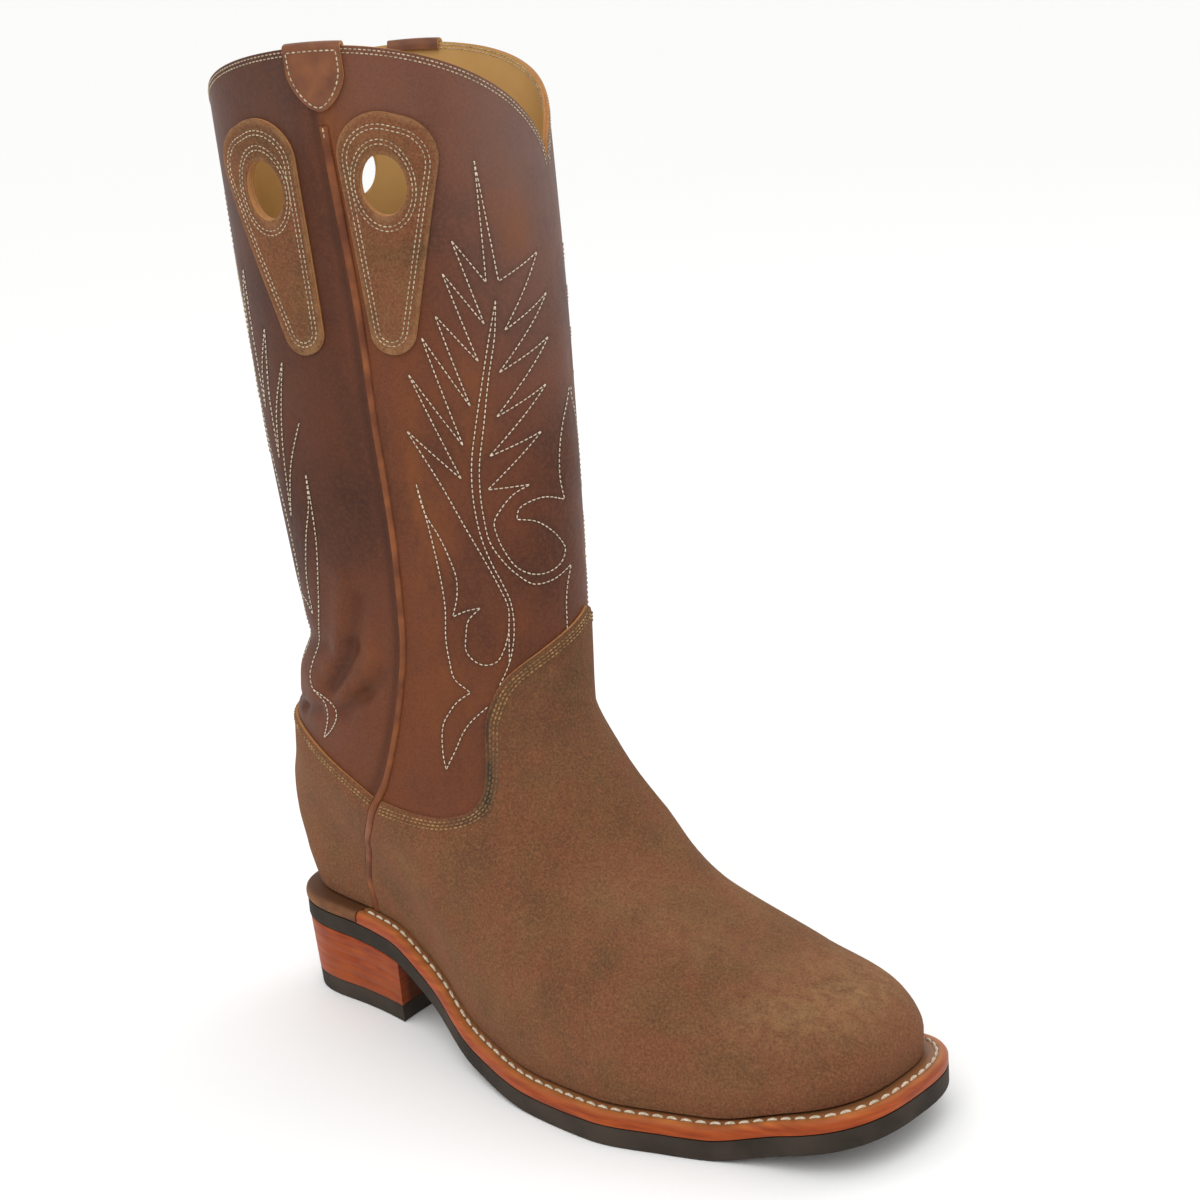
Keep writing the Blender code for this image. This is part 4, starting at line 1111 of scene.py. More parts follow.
def swell(value, middle, reach):
    """Share that is 1 at the middle and fades softly on both sides."""
    return np.exp(-((value - middle) / reach) ** 2)


places = np.arange(SHAFT_PLACES) * 2.0 / SHAFT_PLACES
levels = np.linspace(SHAFT_FROM, 1.0, SHAFT_ROWS)
level, around = np.meshgrid(levels, places, indexing="ij")
plain = raised(around, level, 0.0)
pressed = np.zeros(around.shape)
for place, height in fancy_lines:
    stitched = raised(place, height, 0.0)
    row = np.rint((height - SHAFT_FROM) / (levels[1] - levels[0])).astype(int)
    column = np.rint(place / (places[1] - places[0])).astype(int)
    for up_by in PRESS_STEPS:
        for over_by in PRESS_STEPS:
            r = np.clip(row + up_by, 0, SHAFT_ROWS - 1)
            c = np.mod(column + over_by, SHAFT_PLACES)
            away = np.sum((plain[r, c] - stitched) ** 2, axis=-1)
            np.maximum.at(pressed, (r, c), np.exp(-away / PRESS_WIDTH ** 2))
_, share = halves(around)
ahead = (share - seam_line(level)) * FOLD_GIRTH
height = plain[..., 2]
fold = relief(around, level)
wear_and_highlight = np.zeros(around.shape)
# Spots of pulled leather, and a painted highlight ahead of the strip between the patches.
for spot_ahead, spot_height, spot_long, spot_tall, strength in WEAR_AND_HIGHLIGHT_SPOTS:
    spot = strength * swell(ahead, spot_ahead, spot_long) * swell(height, spot_height, spot_tall)
    wear_and_highlight = np.maximum(wear_and_highlight, spot)
warmth_and_highlight = WARM_SEAM * swell(ahead, 0.0, np.where(ahead > 0, WARM_BEFORE_SEAM, WARM_BEHIND_SEAM))
# The ridges of the folds are painted paler as a painted highlight.
warmth_and_highlight = warmth_and_highlight + ramp(height, *WARM_LOW) + ramp(height, *WARM_HIGH) + ramp(fold, *RIDGE_HIGHLIGHT)
# Painted shade in stitch troughs and creases, a painted shadow beside the strip, and painted shade on the
# back panel.
shade = TROUGH_SHADE * pressed + STRIP_SHADOW * swell(ahead, *STRIP_SHADOW_PLACE) + ramp(fold, *CREASE_SHADE)
shade = shade + ramp(ahead, *BACK_PANEL_SHADE) * ramp(height, *BACK_PANEL_SHADE_HEIGHT)
# Painted sheen: greyish high on the front and back, and along the rim away from the seam.
painted_sheen = ramp(height, *SHEEN_HEIGHT) * ramp(np.abs(share - 0.5), *SHEEN_FROM_SIDE)
painted_sheen = np.maximum(painted_sheen, ramp(height, *SHEEN_RIM) * ramp(np.abs(ahead), *SHEEN_FROM_SEAM))
sheet = shell(raised(around, level, -PRESS_DEPTH * pressed), raised(around, level, -LEATHER), True)
shaft = add_sheet("shaft_leather", *sheet, shaft_leather, lining_leather, raw_edge)
paint(shaft, "warm_and_ridge_highlight", np.tile(np.clip(warmth_and_highlight, 0, 1).ravel(), 2))
for name, values in (("painted_shade", np.clip(shade, 0, DARKEST)), ("paler_patches", wear_and_highlight), ("painted_sheen", painted_sheen)):
    paint(shaft, name, np.concatenate([values.ravel(), 0.0 * values.ravel()]))
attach(shaft, "root")
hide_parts("upper")

# Lining: soft gold leather inside the shaft and foot.
# It is cemented to the panels and sewn to them at the collar, where its cut edge shows.
LINING_ROWS = 130
LINING_PLACES = 180
LINING_GAP = 0.1
lining_turn = np.arange(LINING_PLACES) * 2.0 / LINING_PLACES
level, around = np.meshgrid(np.linspace(0.0, 1.0, LINING_ROWS), lining_turn, indexing="ij")
lining_back = raised(around, level, -LEATHER - LINING_GAP)
points, faces, kinds = shell(lining_back, raised(around, level, -LEATHER - LINING - LINING_GAP), True)
lining = add_sheet("shaft_lining", points, faces, kinds // 2, lining_leather, raw_edge)
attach(lining, "root")

# Collar stitching: two close rows of natural thread round the top.
# They go through leather and lining, hold the two together and show on both faces.
COLLAR_ROWS = (1.1, 2.5)
COLLAR_POINTS = 420
COLLAR_STITCH = 1.3
COLLAR_GAP = 0.5
COLLAR_THREAD = 0.25
COLLAR_SEAT = 0.03
COLLAR_LEVEL = 1.0 - 1e-6


def wall_slopes(around, level):
    """How the wall moves with the place round the boot and with the level."""
    by_place = (wall(around + NUDGE, level) - wall(around - NUDGE, level)) / (2 * NUDGE)
    return by_place, (wall(around, level) - wall(around, level - SLOPE_STEP)) / SLOPE_STEP


def beside(around, level, distance):
    """A line on the wall shifted sideways along it: to the right of its run for a positive distance."""
    run = np.gradient(wall(around, level), axis=0)
    sideways = unit(np.cross(run, outward(around, level))) * distance
    by_place, by_level = wall_slopes(around, level)
    aa, ab, bb, sa, sb = (
        np.sum(p * q, -1) for p, q in (
            (by_place, by_place), (by_place, by_level), (by_level, by_level),
            (sideways, by_place), (sideways, by_level),
        )
    )
    det = aa * bb - ab * ab
    return around + (sa * bb - sb * ab) / det, level + (sb * aa - sa * ab) / det


collar_runs = []
for row in COLLAR_ROWS:
    for start, stop in ((0.0, 1.0), (1.0, 2.0)):
        place = np.linspace(start + NUDGE, stop - NUDGE, COLLAR_POINTS)
        place, level = beside(place, np.full(COLLAR_POINTS, COLLAR_LEVEL), row)
        inside = raised(place, level, -LEATHER - LINING - LINING_GAP - COLLAR_SEAT)
        collar_runs.append(stitch(place, level, COLLAR_SEAT, COLLAR_STITCH, COLLAR_GAP))
        collar_runs.append(sew(inside, -outward(place, level), COLLAR_STITCH, COLLAR_GAP))
collar_stitching = add_thread("collar_stitching", collar_runs, COLLAR_THREAD, natural_thread)
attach(collar_stitching, "root")

# Vamp: rough-out leather over the foot, flesh side out, lapped over the shaft with a raised tongue in front.
# Its edge is cut raw and sewn down with close rows of tan thread.
OVERLAY = 1.5
STRIP_HALF = 2.0
VAMP_EDGE = [
    # share of the way from the side seam to the front, level
    (0.00, 0.334),
    (0.08, 0.341),
    (0.15, 0.351),
    (0.20, 0.366),
    (0.25, 0.388),
    (0.29, 0.408),
    (0.33, 0.437),
    (0.36, 0.472),
    (0.39, 0.499),
    (0.45, 0.524),
    (0.57, 0.546),
    (0.75, 0.565),
    (1.00, 0.582),
]
VAMP_PLACES = 150
OVERLAY_GAP = 0.06
OVERLAY_SOFT_EDGE = (0.72, 0.95, 1.0)
OVERLAY_ROWS = 92
OVERLAY_TOP_ROWS = (0.982, 0.992, 1.0)
OVERLAY_FOOT = 0.006
SEAM_ROWS = (2.0, 3.4, 4.9)
SEAM_STITCH = 1.6
SEAM_GAP = 0.5
SEAM_THREAD = 0.36
SEAM_SEAT = 0.05
# Smudges have a middle and a reach; the tongue's painted shade and the paler toe and streak have a start,
# where they are full, and a strength.
SMUDGE_SHARE = (0.31, 0.10)
SMUDGE_BELOW_EDGE = (3.6, 3.0)
# The tongue is painted darker towards its top, as painted shade at the instep.
TONGUE_SHADE = (0.34, 0.50, 0.25)
# The top of the toe is painted paler: rubbed nap, and painted light on the top.
TOE_RUB_AND_HIGHLIGHT = (235.0, 285.0, 0.64)
TOE_TOP_LEVEL = (0.08, 0.16)
# A paler streak along the side of the vamp, in the same pale tone.
LIGHT_STREAK = [
    # distance forward, level
    (178.0, 0.33),
    (201.0, 0.30),
    (226.0, 0.26),
    (250.0, 0.24),
]
STREAK_REACH = 0.045
STREAK_START = (165.0, 185.0, 0.22)
STREAK_END = (265.0, 235.0)
SOIL_REACH = 17.0
SOIL_SHADE = 0.85
vamp_level = curves(VAMP_EDGE)[0]

# Rough-out leather: the flesh side of the hide, brown with a short clinging nap, no shine, clouded and
# smudged. The nap is finer than shows here, so it is drawn a little coarser. The top of the toe is painted
# paler, partly rubbed nap and partly painted light; the tongue is painted darker as painted shade.
rough_leather, tree, shader, place = start_material("rough_out_leather", "#74503A", 0.95)
smudge_and_shade = node(tree, "Attribute", {}, "Fac", attribute_name="smudge_and_shade")
rub_and_highlight = node(tree, "Attribute", {}, "Fac", attribute_name="rub_and_highlight")
cloud = node(tree, "TexNoise", {"Vector": place, "Scale": per_mm(32.0), "Detail": 8.0, "Roughness": 0.6})
moved = node(tree, "Mapping", {"Vector": place, "Location": (0.7, 0.3, 0.5)})
tint = node(tree, "TexNoise", {"Vector": moved, "Scale": per_mm(17.0), "Detail": 7.0, "Roughness": 0.65})
blotch = node(tree, "TexNoise", {"Vector": place, "Scale": per_mm(5.0), "Detail": 6.0, "Roughness": 0.7})
nap = node(tree, "TexNoise", {"Vector": place, "Scale": per_mm(0.9), "Detail": 3.0, "Roughness": 0.6})
lighter = node(tree, "MapRange", {"Value": cloud, "From Min": 0.28, "From Max": 0.72})
redder = node(tree, "MapRange", {"Value": tint, "From Min": 0.38, "From Max": 0.62, "To Max": 0.65})
spots = node(tree, "MapRange", {"Value": blotch, "From Min": 0.3, "From Max": 0.7})
specks = node(tree, "MapRange", {"Value": nap, "From Min": 0.5, "From Max": 0.75, "To Max": 0.56})
hollows = node(tree, "MapRange", {"Value": nap, "From Min": 0.5, "From Max": 0.28, "To Max": 0.56})
rub_and_highlight_spots = node(tree, "Math", {0: rub_and_highlight, 1: spots}, operation="MULTIPLY")
grime = node(tree, "MapRange", {"Value": blotch, "From Min": 0.4, "From Max": 0.56, "To Min": 0.4})
soil_and_shade = node(tree, "Math", {0: smudge_and_shade, 1: grime}, operation="MULTIPLY")
body = node(tree, "Mix", {"Factor": lighter, "A": "#573B27", "B": "#755033"}, data_type="RGBA")
dyed = node(tree, "Mix", {"Factor": redder, "A": body, "B": "#74432E"}, data_type="RGBA")
# Paler where rubbed, with painted light on the top of the toe.
rubbed_and_highlit = node(tree, "Mix", {"Factor": rub_and_highlight_spots, "A": dyed, "B": "#A67E55"}, data_type="RGBA")
lit = node(tree, "Mix", {"Factor": specks, "A": rubbed_and_highlit, "B": "#8E6644"}, data_type="RGBA")
napped = node(tree, "Mix", {"Factor": hollows, "A": lit, "B": "#432D20"}, data_type="RGBA")
# Dark smudges by the notch, and painted shade over the tongue.
tone = node(tree, "Mix", {"Factor": soil_and_shade, "A": napped, "B": "#262620"}, data_type="RGBA")
fine = node(tree, "Bump", {"Strength": 0.6, "Distance": 0.0005, "Height": nap})
bump = node(tree, "Bump", {"Strength": 0.3, "Distance": 0.001, "Height": blotch, "Normal": fine})
wire(tree, shader, {
    "Sheen Weight": 0.12,
    "Sheen Roughness": 0.6,
    "Sheen Tint": "#B98C66",
    "Specular IOR Level": 0.2,
    "Base Color": tone,
    "Normal": bump,
})

# Tan thread: thick polished thread, dirtied by the rough leather round it.
tan_thread, tree, shader, place = start_material("tan_thread", "#A9855A", 0.7)
twist = node(tree, "TexNoise", {"Vector": place, "Scale": per_mm(4.0), "Detail": 4.0})
soil = node(tree, "MapRange", {"Value": twist, "From Min": 0.4, "From Max": 0.65})
tone = node(tree, "Mix", {"Factor": soil, "A": "#705430", "B": "#A68251"}, data_type="RGBA")
soiled = node(tree, "Attribute", {}, "Fac", attribute_name="soil")
grimy = node(tree, "Mix", {"Factor": soiled, "A": tone, "B": "#4A4537"}, data_type="RGBA")
wire(tree, shader, {"Base Color": grimy})


def from_seam(share, level, forward):
    """Place on the outer half at a share of the way from the side strip's edge to the front or the back."""
    seam = seam_line(level)
    clear = girth_step(seam, level, STRIP_HALF + GAP)
    if forward:
        start = seam + clear
        return start + (1.0 - start) * share
    start = seam - clear
    return start - start * share


def mirrored(around, level):
    """Both halves of a grid on the outer half that ends at the front or back centre line."""
    return np.concatenate([around, 2.0 - around[-2::-1]]), np.concatenate([level, level[-2::-1]])


def overlay(around, level):
    """A sheet over the upper, thinned to a soft edge all round."""
    rows, count = around.shape
    down = np.minimum(np.arange(rows), np.arange(rows)[::-1])[:, None]
    over = np.minimum(np.arange(count) + 3, np.arange(count)[::-1])[None]
    thick = OVERLAY * np.interp(np.minimum(down, over), [0, 1, 2], OVERLAY_SOFT_EDGE)
    outer, inner = (raised(around, level, OVERLAY_GAP + part).swapaxes(0, 1) for part in (thick, 0.0))
    return shell(outer, inner, False)


def edge_rows(places, levels, rows):
    """Rows of stitches beside the top edge of an overlay, on both sides of the boot."""
    runs = []
    for row in rows:
        place, level = beside(places[:, -1], levels[:, -1], row)
        for side in (-1, 1):
            runs.append(stitch(half_turn(place, side), level, OVERLAY + SEAM_SEAT, SEAM_STITCH, SEAM_GAP))
    return runs


climb = np.concatenate([np.linspace(0.0, 0.97, OVERLAY_ROWS), OVERLAY_TOP_ROWS])
climb[0] = OVERLAY_FOOT
edge_steps = monotone(np.linspace(0, 1, len(VAMP_EDGE)), [share for share, _ in VAMP_EDGE])
half_shares = edge_steps(np.linspace(0, 1, VAMP_PLACES))
vamp_levels = vamp_level(half_shares)[:, None] * climb
vamp_places = from_seam(half_shares[:, None] + 0 * climb, vamp_levels, True)
around, level = mirrored(vamp_places, vamp_levels)
vamp = add_sheet("vamp_rough_out", *overlay(around, level), rough_leather, rough_leather, raw_edge)
edge_share = np.concatenate([half_shares, half_shares[-2::-1]])[:, None]
edge_mm = (vamp_level(edge_share) - level) * FOLD_RISE
smudged = swell(edge_share, *SMUDGE_SHARE) * swell(edge_mm, *SMUDGE_BELOW_EDGE)
forward = wall(around, level)[..., 0]
# Painted light on the toe's top, together with rubbed nap.
toe = ramp(forward, *TOE_RUB_AND_HIGHLIGHT) * ramp(level, *TOE_TOP_LEVEL)
streak = swell(level, np.interp(forward, *zip(*LIGHT_STREAK)), STREAK_REACH)
streak = streak * ramp(forward, *STREAK_START) * ramp(forward, *STREAK_END)
# Smudges by the notch, and painted shade on the tongue.
paint(vamp, "smudge_and_shade", np.tile(np.maximum(smudged, ramp(level, *TONGUE_SHADE)).T.ravel(), 2))
paint(vamp, "rub_and_highlight", np.tile(np.maximum(toe, streak).T.ravel(), 2))
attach(vamp, "root")
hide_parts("vamp")

vamp_runs = edge_rows(vamp_places, vamp_levels, SEAM_ROWS)
vamp_stitching = add_thread("vamp_stitching", vamp_runs, SEAM_THREAD, tan_thread)
soil_level = float(vamp_level(SMUDGE_SHARE[0]))
soil_place = float(from_seam(SMUDGE_SHARE[0], soil_level, True))
spots = np.empty(3 * len(vamp_stitching.data.vertices))
vamp_stitching.data.vertices.foreach_get("co", spots)
spots = spots.reshape(-1, 3) / MM + FRAME_CENTRE
reach = [np.linalg.norm(spots - wall(half_turn(soil_place, side), soil_level), axis=1) for side in (-1, 1)]
paint(vamp_stitching, "soil", SOIL_SHADE * swell(np.minimum(*reach), 0.0, SOIL_REACH))
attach(vamp_stitching, "root")

# Counter: rough-out leather round the heel, over the stiffener.
# It is lasted with the upper and sewn to the shaft along its top edge with two rows of tan thread.
COUNTER_EDGE = [
    # share of the way from the side seam to the back, level
    (0.00, 0.334),
    (0.25, 0.357),
    (0.55, 0.383),
    (1.00, 0.400),
]
COUNTER_PLACES = 60
counter_level = curves(COUNTER_EDGE)[0]
half_shares = np.linspace(0, 1, COUNTER_PLACES)
counter_levels = counter_level(half_shares)[:, None] * climb
counter_places = from_seam(half_shares[:, None] + 0 * climb, counter_levels, False)
sheet = overlay(*mirrored(counter_places, counter_levels))
counter = add_sheet("counter_rough_out", *sheet, rough_leather, rough_leather, raw_edge)
paint(counter, "smudge_and_shade", 0.0)
paint(counter, "rub_and_highlight", 0.0)
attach(counter, "root")
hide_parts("counter")

counter_runs = edge_rows(counter_places, counter_levels, [-row for row in SEAM_ROWS[:2]])
counter_stitching = add_thread("counter_stitching", counter_runs, SEAM_THREAD, tan_thread)
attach(counter_stitching, "root")

# Side strips: narrow folded leather piping over each side seam, from the pull strap down to the welt.
# The seam's stitches are hidden under it; at its top two short stitches hold it to the shaft.
SIDES = ((-1, "lateral"), (1, "medial"))
STRIP_RINGS = 220
STRIP_HEIGHT = 1.55
STRIP_SHAFT_HALF = 1.35
STRIP_SHAFT_HEIGHT = 1.1
STRIP_TOP_HALF = 1.8
STRIP_NARROWS = (0.30, 0.40)
STRIP_WIDENS = (0.76, 0.90)
STRIP_SQUARENESS = (0.5, 1.0)
STRIP_BELOW_STRAP = 1.5
KNOT_FROM = 0.3
KNOT_LONG = 4.5
KNOT_POINTS = 20
KNOT_STITCH = 1.6
KNOT_GAP = 0.5
KNOT_THREAD = 0.35
KNOT_SEAT = 0.1
STRAP_DROP = 23.5
STRAP_THICKNESS = 1.5
SHAFT_LOWEST = 0.40
STRIP_PROFILE = [
    # along the girth in shares of the half width, height in shares
    (-1.0, 0.0), (-0.95, 0.40), (-0.75, 0.76), (-0.40, 0.95), (0.0, 1.0),
    (0.40, 0.95), (0.75, 0.76), (0.95, 0.40), (1.0, 0.0),
]

# Strip leather: the same smooth hide, folded, its tone mottled paler and darker.
strip_leather, tree, shader, place = start_material("strip_leather_rubbed", "#6A3E2A", 0.55)
mottle = node(tree, "TexNoise", {"Vector": place, "Scale": per_mm(11.0), "Detail": 5.0})
paler_patches = node(tree, "MapRange", {"Value": mottle, "From Min": 0.35, "From Max": 0.68})
tone = node(tree, "Mix", {"Factor": paler_patches, "A": "#5C311D", "B": "#824B29"}, data_type="RGBA")
bump = node(tree, "Bump", {"Strength": 0.2, "Distance": 0.0004, "Height": mottle})
wire(tree, shader, {"Specular IOR Level": 0.2, "Base Color": tone, "Normal": bump})


def level_at(around, height):
    """Level at which the shaft reaches a height, found by halving."""
    around, height = np.broadcast_arrays(np.asarray(around, float), np.asarray(height, float))
    return halve(around.shape, SHAFT_LOWEST, 1.0, lambda level: wall(around, level)[..., 2] < height)


strip_top = level_at(float(seam_line(1.0)), COLLAR_SIDE - STRAP_DROP - STRAP_THICKNESS - STRIP_BELOW_STRAP)
level = np.linspace(0.0, strip_top, STRIP_RINGS)[:, None]
seam = seam_line(level)
strip_halves = (STRIP_HALF, STRIP_SHAFT_HALF, STRIP_SHAFT_HALF, STRIP_TOP_HALF)
half = np.interp(level, STRIP_NARROWS + STRIP_WIDENS, strip_halves)
rise = np.interp(level, STRIP_NARROWS, (STRIP_HEIGHT, STRIP_SHAFT_HEIGHT))
along, share = np.array(STRIP_PROFILE).T
share = share ** np.interp(level, STRIP_NARROWS, STRIP_SQUARENESS)
strip_places = seam + girth_step(seam, level, 1.0) * half * along
knot_runs = []
for side, hand in SIDES:
    place = half_turn(strip_places, side)
    rings = raised(place, level + 0 * place, OVERLAY_GAP + rise * share)
    side_strip = add_mesh("side_strip_" + hand + "_piping", *loft(rings), strip_leather)
    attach(side_strip, "root")
    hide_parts("side_strip_" + hand)
    knot_place = half_turn(float(seam_line(strip_top)), side)
    knot_height = wall(knot_place, strip_top)[2] - np.linspace(KNOT_FROM, KNOT_LONG, KNOT_POINTS)
    knot_level = level_at(knot_place, knot_height)
    knot_runs.append(stitch(knot_place, knot_level, KNOT_SEAT + STRIP_SHAFT_HEIGHT, KNOT_STITCH, KNOT_GAP))
knots = add_thread("side_strip_knots", knot_runs, KNOT_THREAD, natural_thread)
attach(knots, "root")

# Finger hole patches: rough-out teardrops sewn round an oval hole, before and behind each side seam.
# The holes go through patch, panel and lining; fingers pull the boot on by them.
HOLE_OFFSETS = {"front": 19.4, "back": 31.5}
HOLE_HEIGHT = 353.5
HOLE_NEAR_LEVEL = 0.9
HOLE_WIDTH = 17.5
HOLE_TALL = 23.0
HOLE_REACH = 14.0
HOLE_EDGE_STEP = 6
TURN = np.linspace(0, 2 * math.pi, 720, endpoint=False)
PATCH_THICKNESS = 1.8
PATCH_POINTS = 260
PATCH_SHARES = np.concatenate([[0.0, 0.02], np.linspace(0.05, 0.95, 26), [0.98, 1.0]])
PATCH_SOFT_EDGE = (0.75, 0.95, 1.0)
PATCH_RUB = [
    # share of the way from the hole to the edge, how much it is rubbed
    (0.0, 0.5),
    (0.06, 0.3),
    (0.12, 0.0),
    (0.85, 0.0),
    (0.93, 0.35),
    (1.0, 0.6),
]
PATCH_CIRCLES = [
    # away from the seam, height above the hole, radius
    (0.2, 11.0, 16.2),
    (5.5, 9.0, 16.2),
    (-6.0, -55.5, 9.0),
]
PATCH_ROWS = (2.8, 4.4)
PATCH_ROW_POINTS = 400
ROW_SHIFT = (-0.5, -1.6, 0.6)
HOLE_ROWS = [
    # beside the hole, above and below it
    (2.0, 4.0),
    (3.3, 5.7),
]
PATCH_STITCH = 1.4
PATCH_GAP = 0.6
PATCH_THREAD = 0.25
PATCH_SEAT = 0.08
SETTLING_STEPS = 6
HIGHEST = 0.9995


def local_frame(around, level):
    """Centre, girth direction, upward direction and outward direction on the wall."""
    centre = wall(around, level)
    out = outward(around, level)
    up = wall(around, level + NUDGE) - wall(around, level - NUDGE)
    up = unit(up - out * np.dot(up, out))
    return centre, np.cross(up, out), up, out


def teardrop(angles, inset, sign, shift):
    """Outline round the patch's circles, shifted sideways, at the top and at the tip."""
    directions = np.stack([np.cos(angles), np.sin(angles)], -1)
    circles = np.array(PATCH_CIRCLES)
    sideways, top, tip = shift
    centres = (circles[:, :2] + np.array([(sideways, top), (sideways, top), (sideways, tip)])) * [sign, 1.0]
    reach = directions @ centres.T + circles[:, 2] - inset
    chosen = np.argmax(reach, axis=1)
    return centres[chosen] + directions * (circles[chosen, 2] - inset)[:, None]


def even_turn(outline, count):
    """The same closed outline with its points evenly spaced."""
    loop = np.concatenate([outline, outline[:1]])
    walked = walk(loop)
    return read_at(np.arange(count) * walked[-1] / count, walked, loop)


def oval(angles, beside_by, above_by):
    """Oval of the hole, made larger beside it and above and below it."""
    wide = HOLE_WIDTH / 2 + beside_by
    tall = HOLE_TALL / 2 + above_by
    return np.stack([wide * np.cos(angles), tall * np.sin(angles)], -1)


def on_wall(frame_here, around, level, flat):
    """Place and level of points given across and up from a patch's centre."""
    centre, girth, up, _ = frame_here
    shape = flat.shape[:-1]
    place = np.full(shape, float(around))
    height = np.full(shape, float(level))
    for _ in range(SETTLING_STEPS):
        error = wall(place, height) - centre
        miss = np.stack([flat[..., 0] - error @ girth, flat[..., 1] - error @ up], -1)
        by_place, by_level = wall_slopes(place, height)
        a, b = by_place @ girth, by_level @ girth
        c, d = by_place @ up, by_level @ up
        det = a * d - b * c
        place = place + (miss[..., 0] * d - miss[..., 1] * b) / det
        height = np.minimum(height + (miss[..., 1] * a - miss[..., 0] * c) / det, HIGHEST)
    return place, height


seam_level = level_at(float(seam_line(HOLE_NEAR_LEVEL)), HOLE_HEIGHT)
seam = float(seam_line(seam_level))
from_edge = np.minimum(np.arange(len(PATCH_SHARES)), np.arange(len(PATCH_SHARES))[::-1])
patch_thick = PATCH_THICKNESS * np.interp(from_edge, [0, 1, 2], PATCH_SOFT_EDGE)[:, None]
patch_rub = np.repeat(np.interp(PATCH_SHARES, *zip(*PATCH_RUB)), PATCH_POINTS)
patch_runs = []
holes = []
for side, hand in SIDES:
    for forward, where in ((1, "front"), (-1, "back")):
        hole_place = half_turn(seam + girth_step(seam, seam_level, HOLE_OFFSETS[where]) * forward, side)
        hole_level = level_at(hole_place, HOLE_HEIGHT)
        here = local_frame(hole_place, hole_level)
        sign = forward * -side
        outer_line = even_turn(teardrop(TURN, 0.0, sign, (0.0, 0.0, 0.0)), PATCH_POINTS)
        angle = np.arctan2(outer_line[:, 1] / HOLE_TALL, outer_line[:, 0] / HOLE_WIDTH)
        inner_line = oval(angle, 0.0, 0.0)
        flat = inner_line + (outer_line - inner_line) * PATCH_SHARES[:, None, None]
        place, level = on_wall(here, hole_place, hole_level, flat)
        sheet = shell(*(raised(place, level, OVERLAY_GAP + part) for part in (patch_thick, 0.0)), True)
        patch = add_sheet("finger_hole_patch_" + hand + "_" + where + "_leather", *sheet,
                          rough_leather, rough_leather, raw_edge)
        paint(patch, "smudge_and_shade", 0.0)
        paint(patch, "rub_and_highlight", np.tile(patch_rub, 2))
        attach(patch, "root")
        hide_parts("finger_hole_patch_" + hand + "_" + where)
        rows = [even_turn(teardrop(TURN, inset, sign, ROW_SHIFT), PATCH_ROW_POINTS) for inset in PATCH_ROWS]
        rows += [oval(TURN[::2], *grown) for grown in HOLE_ROWS]
        for row in rows:
            place, level = on_wall(here, hole_place, hole_level, np.concatenate([row, row[:1]]))
            patch_runs.append(stitch(place, level, PATCH_THICKNESS + PATCH_SEAT, PATCH_STITCH, PATCH_GAP))
        centre, girth, up, out = here
        edge = oval(TURN[::HOLE_EDGE_STEP], 0.0, 0.0)
        ring = centre + edge[:, :1] * girth + edge[:, 1:] * up
        rings = [ring - HOLE_REACH * out, ring + HOLE_REACH * out]
        holes.append(add_mesh("hole_" + hand + "_" + where, *loft(rings), raw_edge))
patch_stitching = add_thread("patch_stitching", patch_runs, PATCH_THREAD, natural_thread)
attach(patch_stitching, "root")

for piece in (shaft, lining):
    for hole in holes:
        step = piece.modifiers.new("cut", "BOOLEAN")
        step.operation = "DIFFERENCE"
        step.solver = "MANIFOLD"
        step.object = hole
    bpy.context.view_layer.update()
    whole = piece.evaluated_get(bpy.context.evaluated_depsgraph_get())
    opened = bpy.data.meshes.new_from_object(whole)
    piece.modifiers.clear()
    piece.data = opened
for hole in holes:
    bpy.data.objects.remove(hole, do_unlink=True)

# Pull straps: leather tabs folded over the collar at both side seams, with a pointed end and one row of
# stitching. The inner end is tucked in just below the rim.
STRAP_HALF = 11.3
STRAP_STRAIGHT = 0.38
STRAP_ROUNDING = 1.6
STRAP_SEAM = 1.4
STRAP_TOP_SEAM = 1.5
STRAP_FOLD = 0.3
STRAP_TUCK = 3.0
STRAP_TUCK_GAP = 0.2
STRAP_CLEAR = GAP + 0.1
STRAP_BELOW_RIM = 1.0
STRAP_SOFT_EDGE = 0.8
STRAP_EDGE_SHARE = 0.995
STRAP_PLACES = 31
STRAP_HANG_ROWS = 14
STRAP_FOLD_TURNS = np.linspace(0.1, 0.9, 9)
STRAP_TUCK_ROWS = 4
STRAP_STITCH = 1.6
STRAP_GAP = 0.7
STRAP_THREAD = 0.3
STRAP_SEAT = 0.05
STRAP_SEAM_POINTS = 121
STRAP_STRAIGHT_POINTS = 30

# Strap leather: smooth hide, lighter and more orange than the shaft, with the same soft shine.
strap_leather, tree, shader, place = start_material("strap_leather_smooth", "#7E4C30", 0.45)
mottle = node(tree, "TexNoise", {"Vector": place, "Scale": per_mm(8.0), "Detail": 5.0})
paler_patches = node(tree, "MapRange", {"Value": mottle, "From Min": 0.3, "From Max": 0.7})
tone = node(tree, "Mix", {"Factor": paler_patches, "A": "#5E331D", "B": "#7A4726"}, data_type="RGBA")
grain = node(tree, "TexNoise", {"Vector": place, "Scale": per_mm(1.3), "Detail": 4.0})
bump = node(tree, "Bump", {"Strength": 0.15, "Distance": 0.0003, "Height": grain})
wire(tree, shader, {"Specular IOR Level": 0.35, "Base Color": tone, "Normal": bump})


def strap_drop(across):
    """How far the strap hangs below the collar at a share of its half width."""
    rounded = np.clip(1 - abs(across) ** STRAP_ROUNDING, 0, 1) ** (1 / STRAP_ROUNDING)
    return STRAP_DROP * (STRAP_STRAIGHT + (1 - STRAP_STRAIGHT) * rounded)


